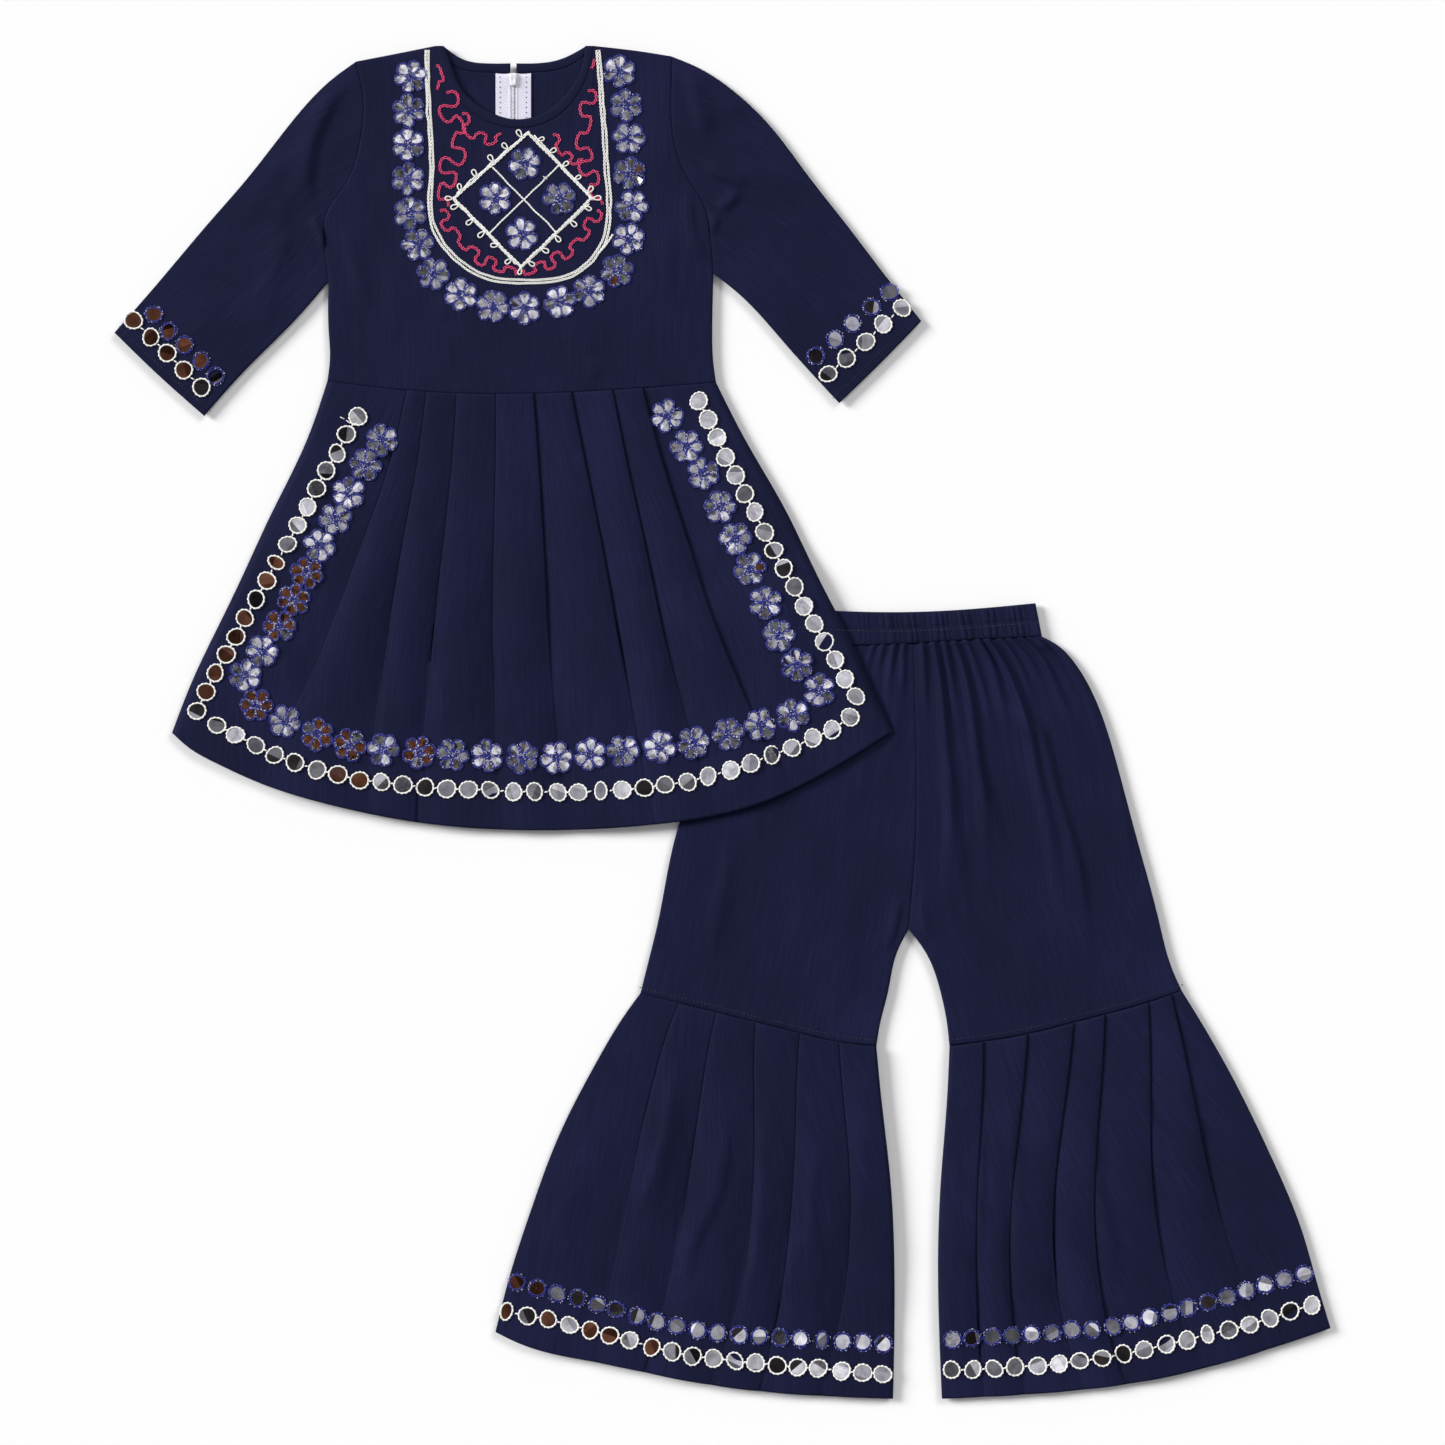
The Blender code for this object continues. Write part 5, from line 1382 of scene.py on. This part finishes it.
def fan_faces(steps):
    """Faces of a lens: rim, hub, lower rim and foot, as a fan above, a side wall and a fan below."""
    ring = np.arange(steps)
    after = (ring + 1) % steps
    low = steps + 1
    hub = np.full_like(ring, steps)
    above = np.stack([hub, ring, after], axis=1)
    wall = np.concatenate([np.stack([after, ring, ring + low], axis=1),
                           np.stack([after, ring + low, after + low], axis=1)])
    below = np.stack([hub + low, after + low, ring + low], axis=1)
    return np.concatenate([above, wall, below])


def thickened(rim, hub, depth):
    """A lens's points in the order that fan_faces reads: rim and hub, and both again lower down."""
    down = np.array([0.0, 0.0, depth])
    return np.concatenate([rim, hub, rim - down, hub - down], axis=1)


def creased_discs(centres, radius, ovals, angles, planes, tones, slopes, lift):
    """Foil discs, each creased along a chord: two fans about the chord's middle, hinged at it.

    A place at distance d from the chord rises by slope * d on its own side. The tone, which paints in
    what each side reflects, is one number for each side. Returns points, triangles and a tone for each
    triangle.
    """
    count, half = len(centres), 9
    chord = random.uniform(-0.6, 0.6, count)
    start = np.arccos(chord)[:, None]
    first = start + np.linspace(0, 1, half + 1)[None, :] * (2 * math.pi - 2 * start)
    second = -start + np.linspace(0, 1, half + 1)[None, 1:-1] * 2 * start
    angle = np.concatenate([first, second], axis=1)
    side = np.cos(angle) - chord[:, None]
    rise = np.where(side < 0, slopes[:, :1], slopes[:, 1:]) * np.abs(side)
    rim = np.stack([np.cos(angle), np.sin(angle), rise], axis=2)
    hub = np.stack([chord, 0 * chord, 0 * chord], axis=1)[:, None, :]
    template = turned(thickened(rim, hub, 0.5 / radius), random.uniform(0, 2 * math.pi, count)) * radius
    template[..., 1] *= ovals[:, None]
    points = set_out(template, centres, angles, planes, lift)
    tone = np.tile(np.repeat(tones, half, axis=1), (1, 4))
    return points.reshape(-1, 3), copies(fan_faces(2 * half), count, template.shape[1]), tone.ravel()


def gets_brown_reflection(centres):
    """Which foils get a painted brown reflection: the largest chance,
    0.85 * exp(-(distance / reach)^2), over the spots.
    """
    chance = np.zeros(len(centres))
    for spot, reach in BROWN_REFLECTION_SPOTS:
        distance = np.linalg.norm(centres - spot, axis=1)
        chance = np.maximum(chance, 0.85 * np.exp(-(distance / reach) ** 2))
    return random.random(len(centres)) < chance


def mirror_reflection_tones(centres):
    """Two tones for each disc, painted reflections on silver foil: most are silver or grey, some nearly
    black, and some brown.
    """
    count = len(centres)
    one = random.choice(FOIL_AND_REFLECTION_TONES, count, p=ONE_HALF)
    other = random.choice(FOIL_AND_REFLECTION_TONES, count, p=OTHER_HALF)
    tones = np.stack([one, np.where(random.random(count) < 0.4, one, other)], axis=1)
    brown = gets_brown_reflection(centres)
    tones[brown] = random.uniform(0.14, 0.26, (brown.sum(), 2))
    return tones


def foil_piece(name, parts):
    """One joined piece of foil from several (points, triangles, tones)."""
    points, faces = gather_parts([(part[0], part[1]) for part in parts])
    made = mesh_object(name, points, faces, FOIL, smooth=False)
    # The tone attribute carries painted reflections into the foil's colour
    tone = made.data.attributes.new("tone", "FLOAT", "FACE")
    tone.data.foreach_set("value", np.concatenate([part[2] for part in parts]).astype(np.float32))
    return made


def thread_piece(name, parts, look):
    """One joined piece of thread from several (points, faces)."""
    points, faces = gather_parts(parts)
    return mesh_object(name, points, faces, look)


def chips(centres, planes, inner, outer, a_piece, lift):
    """Glints of foil that show between the stitches: small four-sided pyramids about each centre."""
    count = len(centres) * a_piece
    spread = np.sqrt(random.uniform(inner ** 2, outer ** 2, count))
    turn = random.uniform(0, 2 * math.pi, count)
    offset = np.stack([spread * np.cos(turn), spread * np.sin(turn)], axis=1)
    owner = np.repeat(np.arange(len(centres)), a_piece)
    own = planes[owner].copy()
    own[:, 0] += own[:, 1] * offset[:, 0] + own[:, 2] * offset[:, 1]
    shape = np.array([(-0.7, 0, 0), (0, -0.36, 0), (0.7, 0, 0), (0, 0.36, 0), (0, 0, 0.04)])
    points = set_out(shape, centres[owner] + offset, random.uniform(0, math.pi, count), own, lift,
                     random.uniform(0.6, 1.25, count))
    faces = np.array([(0, 1, 4), (1, 2, 4), (2, 3, 4), (3, 0, 4), (0, 3, 1), (1, 3, 2)])
    tone = np.repeat(random.choice([1.0, 0.85], count), len(faces))
    return points.reshape(-1, 3), copies(faces, count, len(shape)), tone


def thread_rings(centres, planes, row, ovals, angles):
    """Thread round each disc: a ring that bulges outwards, and is thicker, at each stitch."""
    ring = dict(zip(RING_COLUMNS, row))
    turns = np.linspace(0, 2 * math.pi, ring["stitches"] * 4, endpoint=False)
    shift = random.uniform(0, 2 * math.pi, len(centres))[:, None]
    bump = np.abs(np.sin(ring["stitches"] / 2 * turns[None, :] + shift))
    uneven = 0.2 * np.sin(2 * turns + 3 * shift) + 0.16 * np.sin(3 * turns + 5 * shift)
    reach = ring["radius"] + ring["bulge"] * bump + uneven
    path = np.stack([reach * np.cos(turns), reach * np.sin(turns) * ovals[:, None], 0 * reach], axis=2)
    placed = set_out(path, centres, angles, planes, ring["lift"])
    return tubes(placed, ring["thread"] * (0.66 + 0.55 * bump), 5, True, 0.8)


def links(places):
    """The short stitches that join each ring to the next."""
    middle = (places[1:] + places[:-1]) / 2
    shape = np.array([(-1.6, -0.5, 0), (-0.6, -0.1, 0.2), (0.6, 0.1, 0.2), (1.6, 0.5, 0)])
    placed = set_out(shape, middle, heading(places[1:] - places[:-1]), seats(middle, 2.5), 0.8)
    return tubes(placed, 0.66, 5, False, 0.8)


def mirror_rows():
    """Round mirrors in rows, ringed in white chain stitch or in scalloped blue thread."""
    foil, white, blue = [], [], []
    for row in MIRROR_ROWS:
        entry = dict(zip(MIRROR_ROW_COLUMNS, row))
        in_white = entry["thread"] == "white"
        radius = MIRROR_RADIUS if in_white else BLUE_MIRROR_RADIUS
        places, angles = even_places(entry["path"], entry["count"])
        count = len(places)
        places = places + random.normal(0, MIRROR_SCATTER, places.shape)
        ovals = random.uniform(0.86, 1.0, count)
        squeezed = random.random(count) < 0.08
        ovals[squeezed] = 0.68
        angles = np.where(squeezed, angles + math.pi / 2, random.uniform(0, math.pi, count))
        planes = seats(places, MIRROR_RADIUS)
        # Painted reflections: each disc's two tones
        tones = mirror_reflection_tones(places)
        slopes = random.normal(0.0, MIRROR_TILT, (count, 2))
        foil.append(creased_discs(places, radius, ovals, angles, planes, tones, slopes, MIRROR_LIFT))
        if in_white:
            white.append(thread_rings(places, planes, WHITE_RING, ovals, angles))
            white.append(links(places))
        else:
            blue += [thread_rings(places, planes, ring, ovals, angles) for ring in BLUE_RINGS]
            foil.append(chips(places, planes, 5.9, 7.6, 15, 1.2))
    foil_piece("round_mirrors", foil)
    thread_piece("white_mirror_rings", white, WHITE_THREAD)
    thread_piece("blue_mirror_rings", blue, BLUE_THREAD)


def petals(centres, turn, planes, reflected_tone):
    """One petal of every flower: a drop-shaped lens of foil, two scalloped threads round it and glints."""
    count = len(centres)
    steps = np.linspace(0, 2 * math.pi, 14, endpoint=False)
    lobed = np.linspace(0, 2 * math.pi, 24, endpoint=False)
    long = PETAL_HALF_LENGTH + random.normal(0, PETAL_SCATTER, (count, 1))
    wide = PETAL_HALF_WIDTH + random.normal(0, PETAL_SCATTER, (count, 1))
    drop = wide * np.sin(steps) * (1 + 0.35 * np.cos(steps))
    tilt = random.normal(0, 0.09, (count, 1))
    rim = np.stack([PETAL_MIDDLE + long * np.cos(steps), drop, 0.15 + tilt * drop], axis=2)
    hub = np.broadcast_to([PETAL_MIDDLE, 0.0, 0.35], (count, 1, 3))
    template = thickened(rim, hub, 0.6)
    faces = fan_faces(len(steps))
    # Each petal's tone, and its second half's, paint in what the foil reflects: bright, grey, dark or brown
    tone = np.clip(reflected_tone + random.normal(0, 0.1, count) * (reflected_tone > 0.3), 0.03, 1.0)
    tone = np.where(random.random(count) < 0.12, 0.34, tone)
    other = np.where(random.random(count) < 0.35, np.clip(tone + 0.3 * (tone > 0.3), 0.0, 1.0), tone)
    pair = np.tile(np.repeat(np.stack([tone, other], axis=1), len(steps) // 2, axis=1), (1, 4))
    foil = [(set_out(template, centres, turn, planes, 0.35).reshape(-1, 3),
             copies(faces, count, template.shape[1]), pair.ravel())]
    threads = []
    for reach, lobes, radius, lift in SCALLOPS:
        scallop = reach + 0.6 * np.abs(np.sin(lobed * lobes / 2 + reach))
        line = np.stack([PETAL_MIDDLE + (long + scallop) * np.cos(lobed),
                         (wide + scallop) * np.sin(lobed) * (1 + 0.35 * np.cos(lobed)),
                         np.full((count, len(lobed)), 0.2)], axis=2)
        threads.append(tubes(set_out(line, centres, turn, planes, lift), radius, 4, True))
    offset = PETAL_MIDDLE * np.stack([np.cos(turn), np.sin(turn)], axis=1)
    own = planes.copy()
    own[:, 0] += (planes[:, 1:] * offset).sum(axis=1)
    foil.append(chips(centres + offset, own, 3.3, 4.9, 10, 1.15))
    return foil, threads


def flowers():
    """Six-petalled flowers of foil held down by blue thread, with spokes of thread in the middle."""
    centres, angles = [], []
    for row in FLOWER_ROWS:
        entry = dict(zip(FLOWER_ROW_COLUMNS, row))
        places, turns = even_places(entry["path"], entry["count"])
        centres.append(places + random.normal(0, FLOWER_SCATTER, places.shape))
        angles.append(turns)
    centres = np.concatenate(centres + [np.array(YOKE_FLOWERS, float)])
    angles = np.concatenate(angles + [np.zeros(len(YOKE_FLOWERS))])
    count = len(centres)
    angles = angles + random.uniform(-0.5, 0.5, count)
    planes = seats(centres, FLOWER_RADIUS * 0.9)
    # Each flower's foil tone is a painted reflection: bright, grey or darker, and brown near the brown
    # spots
    reflected_tone = random.choice([1.0, 0.66, 0.42], count, p=[0.42, 0.38, 0.20])
    reflected_tone[gets_brown_reflection(centres)] = 0.22
    foil, blue = [], []
    for petal in range(PETALS):
        turn = angles + petal * 2 * math.pi / PETALS + random.normal(0, 0.07, count)
        one_foil, one_blue = petals(centres, turn, planes, reflected_tone)
        foil += one_foil
        blue += one_blue
        for offset, start, end in SPOKES:
            run = np.linspace(start, end, len(SPOKE_SWAY))
            spoke = np.stack([run, SPOKE_SWAY, SPOKE_HEIGHT], axis=1)
            blue.append(tubes(set_out(spoke, centres, turn + offset, planes, 0.4), 0.34, 4, False))
    foil.append(chips(centres, planes, 0.6, 4.4, 14, 1.3))
    foil_piece("flower_petals", foil)
    thread_piece("flower_threads", blue, BLUE_THREAD)


def offset_path(path, distances):
    """A path moved to its left by distances, spread evenly along it."""
    plan = along(path, 6.0)
    distance = np.interp(np.linspace(0, 1, len(plan)), np.linspace(0, 1, len(distances)), distances)
    return plan + distance[:, None] * left_of(unit(np.gradient(plan, axis=0)))


def daisy_loops(places, angles, scales):
    """Drop-shaped loops of thread, each with its point at a place and its round end the way it faces."""
    turns = np.linspace(0, 2 * math.pi, 18, endpoint=False)
    loop = np.stack([0.4 + DAISY_LENGTH * (1 - np.cos(turns)) / 2,
                     DAISY_HALF_WIDTH * np.sin(turns) * (0.72 - 0.28 * np.cos(turns)),
                     np.full(len(turns), 0.3)], axis=1)
    placed = set_out(loop, places, angles, seats(places, 4.0), 0.35, scales)
    return tubes(placed, 0.56, 6, True)


def yoke():
    """White chain stitch: the U, the diamond with its cross, and a row of daisy loops along it."""
    white = [chain_stitch(YOKE_LINE, 2.8, 0.5, 0.44)]
    white.append(chain_stitch(offset_path(YOKE_LINE, YOKE_LINE_GAPS), 2.8, 0.5, 0.42))
    white.append(chain_stitch(YOKE_STUB, 2.8, 0.4, 0.42))
    corners = np.array(DIAMOND, float)
    centre = corners.mean(axis=0)
    loops, ways = [], []
    for start, end in zip(corners, np.roll(corners, -1, axis=0)):
        way = (end - start) / np.linalg.norm(end - start)
        out = np.array([way[1], -way[0]])
        out = out if out @ (start - centre) > 0 else -out
        middle = (start + end) / 2
        white.append(chain_stitch([start - 1.5 * way, middle, end + 1.5 * way], 3.4, 0.55, 0.56))
        beside_it = [start + out * 1.7 + 4 * way, middle + out * 1.2, end + out * 1.0]
        white.append(chain_stitch(beside_it, 3.4, 0.25, 0.34))
        for k in range(DAISIES_A_SIDE):
            loops.append(start + (end - start) * (k + 0.62 + random.normal(0, 0.06)) / DAISIES_A_SIDE + out)
            ways.append(math.atan2(out[1], out[0]) + random.normal(0, 0.25))
    for corner in corners[1:]:
        out = (corner - centre) / np.linalg.norm(corner - centre)
        loops.append(corner + out)
        ways.append(math.atan2(out[1], out[0]) + random.normal(0, 0.15))
    scales = random.uniform(0.9, 1.12, len(loops))
    white.append(daisy_loops(np.array(loops), np.array(ways), scales))
    for line in CROSS:
        white.append(chain_stitch([line[0], np.mean(line, axis=0), line[1]], 2.6, 0.2, 0.36))
    for end in ((1.8, 1.6), (-1.8, 1.4)):
        knot = np.array(CROSS_KNOT) + np.outer(np.linspace(-1, 1, 6), end)
        white.append(tubes(on_cloth(knot, 0.9)[None], 0.4, 6, False))
    loose = on_cloth(along(LOOSE_END, 0.8), 0.6)
    white.append(tubes(loose[None], 0.45, 6, False))
    thread_piece("white_yoke_chain", white, WHITE_THREAD)


def meanders():
    """Pink chain stitch that wanders about a guide: a sine across it, and back and forth along it, so
    that each bend is rounder than a plain sine's."""
    pink = []
    for row in MEANDERS:
        entry = dict(zip(MEANDER_COLUMNS, row))
        share = np.linspace(0, 1, 90)
        guide = smooth_line(entry["guide"])(share)
        way = unit(np.gradient(guide, axis=0))
        phase = 2 * math.pi * entry["waves"] * share + 0.5 * np.sin(9.0 * share)
        swing = entry["swing"] * (0.75 + 0.25 * np.sin(11.0 * share + 1.0)) * np.sin(phase)
        push = 0.36 * entry["swing"] * np.sin(2 * phase)
        path = guide + swing[:, None] * left_of(way) - push[:, None] * way
        pink.append(chain_stitch(path, 3.0, 0.72, 0.36))
    thread_piece("pink_meanders", pink, PINK_THREAD)


def topstitching():
    """Rows of small stitches in the cloth's own colour, each a short thread dipping at both ends."""
    run = np.linspace(-0.5, 0.5, len(STITCH_ARCH)) * STITCH_LENGTH
    shape = np.stack([run, np.zeros(len(run)), STITCH_ARCH], axis=1)
    parts = []
    for path in TOPSTITCHES:
        places = along(path, STITCH_PITCH)
        angles = heading(np.gradient(places, axis=0))
        parts.append(tubes(set_out(shape, places, angles, seats(places, 1.5), 0.0), 0.3, 4, False))
    thread_piece("topstitching", parts, NAVY_THREAD)


def zip_tapes():
    """The two woven tapes, each with a cord's ridge along its inner edge and a faint ripple."""
    for name, side in (("zip_tape_left", -1), ("zip_tape_right", 1)):
        low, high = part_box(name)
        left, right = low.x / MM, high.x / MM
        foot, top = low.y / MM, high.y / MM
        middle = (left + right) / 2
        panel = panel_through([(left, top), (middle, top - 0.4), (right, top + 0.2)],
                              [(left, foot), (right, foot)], [(left, top), (left, foot)],
                              [(right, top), (right, foot)])
        downs = np.linspace(0, 1, 60)
        shares = np.linspace(0, 1, 30)
        line = flat_rows(shares, panel.widths(downs), TAPE_HEIGHT, 0.0)
        inner = 1 - shares if side < 0 else shares
        cord_ridge = CORD_HEIGHT * np.exp(-((inner - 0.10) / 0.05) ** 2)
        ripple = 0.12 * np.sin(downs * 40)[:, None] * np.sin(shares * 5)[None, :]
        line[..., 1] += cord_ridge[None, :] + ripple
        made = cloth(name, TAPE, panel, downs, line, wall=TAPE_WALL, sink=(0, 0, 0, 0))


def zip_teeth():
    """The coil's teeth: short round bars across the middle, one a pitch, bowed at both ends."""
    low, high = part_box("zip_coil")
    count = int((high.y - low.y) / MM / TOOTH_PITCH)
    spots = np.linspace(low.y / MM + 0.6, high.y / MM - 0.6, count)
    tooth = np.array([(-1.5, -0.25, 0.1), (-0.7, 0.1, 0.4), (0.7, 0.1, 0.4), (1.5, -0.25, 0.1)])
    centres = np.stack([np.full(count, ZIP_X), spots, np.full(count, 2.1)], axis=1)
    teeth = tubes(tooth[None] + centres[:, None, :], 0.5, 6, False)
    made = thread_piece("zip_coil_teeth", [teeth], NYLON)
    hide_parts("zip_coil")


def zip_slider():
    """The slider: a dome over a rounded rectangle, |cos|^0.4 by |sin|^0.4, with a dent on top.

    Its rings widen by sin^0.5 from the top to the foot, and its lower end is the narrower one.
    """
    low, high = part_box("zip_slider")
    middle = np.array([ZIP_X, (low.y + high.y) / 2 / MM, low.z / MM])
    u = np.linspace(0, 1, 30)
    v = np.linspace(0, 2 * math.pi, 40, endpoint=False)
    bulge = np.sin(u * math.pi / 2) ** 0.5
    reach_x = np.abs(np.cos(v)) ** 0.4 * np.sign(np.cos(v))
    reach_y = np.abs(np.sin(v)) ** 0.4 * np.sign(np.sin(v))
    taper = 1 - 0.28 * (1 - reach_y) / 2
    x = SLIDER_HALF_WIDTH * bulge[:, None] * (reach_x * taper)[None, :]
    y = SLIDER_HALF_LENGTH * bulge[:, None] * reach_y[None, :]
    dent = 0.5 * np.exp(-((x / 1.1) ** 2 + ((y + 0.5) / 2.6) ** 2))
    z = SLIDER_HEIGHT * np.cos(u * math.pi / 2)[:, None] ** 0.5 - dent + 0 * x
    points = (np.stack([x, y, z], axis=2) + middle).reshape(-1, 3)
    dome = face_about(grid_faces(len(u), len(v), True))
    foot = (cap_faces(len(v)) + (len(u) - 1) * len(v))[:, ::-1]
    made = mesh_object("zip_slider_body", points, np.concatenate([dome, foot]), NYLON)
    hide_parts("zip_slider")


def zip_stitches():
    """The rows of stitches that hold the tapes: short threads along the zip, arched over the cloth."""
    stitches = []
    shape = np.array([(0, -0.7, -0.1), (0, -0.2, 0.2), (0, 0.2, 0.2), (0, 0.7, -0.1)])
    for x in (ZIP_X - 10.3, ZIP_X + 10.0):
        rows = np.stack([np.full(52, x), np.linspace(302, 503, 52)], axis=1)
        stitches.append(tubes(set_out(shape, rows, np.zeros(52), seats(rows, 1.0), 0.05), 0.3, 4, False))
    thread_piece("zip_stitches", stitches, NAVY_THREAD)


# Staging, in metres: the floor, the suns' places and strengths, and the width that the picture
# shows. The lens and the sensor are in millimetres.
FLOOR_REACH = 6.0
FLOOR_DROP = 0.003
SUNS = [("key_light", (-2.6, 1.1, 1.5), 4.0), ("fill_light", (1.6, 1.8, 2.0), 1.3)]
SUN_ANGLE = math.radians(24)
SEEN_WIDTH = 1.445 * 0.78
LENS = 85.0
SENSOR = 36.0


def floor():
    """A sheet of white paper a little below the suit."""
    mesh = bpy.data.meshes.new("floor")
    reach = FLOOR_REACH
    corners = [(-reach, -reach, 0), (reach, -reach, 0), (reach, reach, 0), (-reach, reach, 0)]
    mesh.from_pydata(corners, [], [(0, 1, 2, 3)])
    paper, _, _ = new_material("white paper floor", {
        "Base Color": linear("#eaeaea"), "Roughness": 0.9, "Specular IOR Level": 0.1})
    mesh.materials.append(paper)
    made = bpy.data.objects.new("floor", mesh)
    bpy.context.scene.collection.objects.link(made)
    made.location.z = -FLOOR_DROP


def suns():
    """Two soft suns from the upper left and the upper right, aimed at the suit's middle."""
    target = bpy.data.objects.new("light_aim", None)
    bpy.context.scene.collection.objects.link(target)
    for name, place, strength in SUNS:
        data = bpy.data.lights.new(name, "SUN")
        data.angle = SUN_ANGLE
        data.energy = strength
        light = bpy.data.objects.new(name, data)
        light.location = place
        bpy.context.scene.collection.objects.link(light)
        aim = light.constraints.new("TRACK_TO")
        aim.track_axis = "TRACK_NEGATIVE_Z"
        aim.up_axis = "UP_Y"
        aim.target = target


def studio():
    """The room that the mirrors show: pale, with darker patches, and bright overhead."""
    world = bpy.data.worlds.new("studio")
    world.use_nodes = True
    tree = world.node_tree
    back = tree.nodes["Background"]
    way = add(tree, "ShaderNodeTexCoord").outputs["Generated"]
    patches = add(tree, "ShaderNodeTexNoise", {"Scale": 7.0, "Detail": 1.0, "Roughness": 0.3},
                  {"Vector": way})
    tones = colours(tree, patches.outputs["Fac"],
                    [(0.36, "#2a2320"), (0.42, "#8a8a90"), (0.50, "#dcdce2"), (0.60, "#ffffff")])
    tree.links.new(tones, back.inputs["Color"])
    height = add(tree, "ShaderNodeSeparateXYZ", {}, {"Vector": way}).outputs["Z"]
    overhead = add(tree, "ShaderNodeMapRange",
                   {"From Min": 0.80, "From Max": 0.93, "To Min": 0.35, "To Max": 1.1}, {"Value": height})
    tree.links.new(overhead.outputs["Result"], back.inputs["Strength"])
    bpy.context.scene.world = world


def camera():
    """The camera straight over the suit, as far away as the picture's width asks for."""
    data = bpy.data.cameras.new("camera")
    data.sensor_width = SENSOR
    data.lens = LENS
    made = bpy.data.objects.new("camera", data)
    made.location = (0.0, 0.0, SEEN_WIDTH * data.lens / data.sensor_width)
    bpy.context.scene.collection.objects.link(made)
    bpy.context.scene.camera = made
    bpy.context.scene.view_settings.view_transform = "Standard"


waistband()
thighs()
flares()
bodice()
sleeves()
skirt()
neck()
zip_tapes()
zip_teeth()
zip_slider()
zip_stitches()
relief.fill()
mirror_rows()
flowers()
yoke()
meanders()
topstitching()
floor()
suns()
studio()
camera()
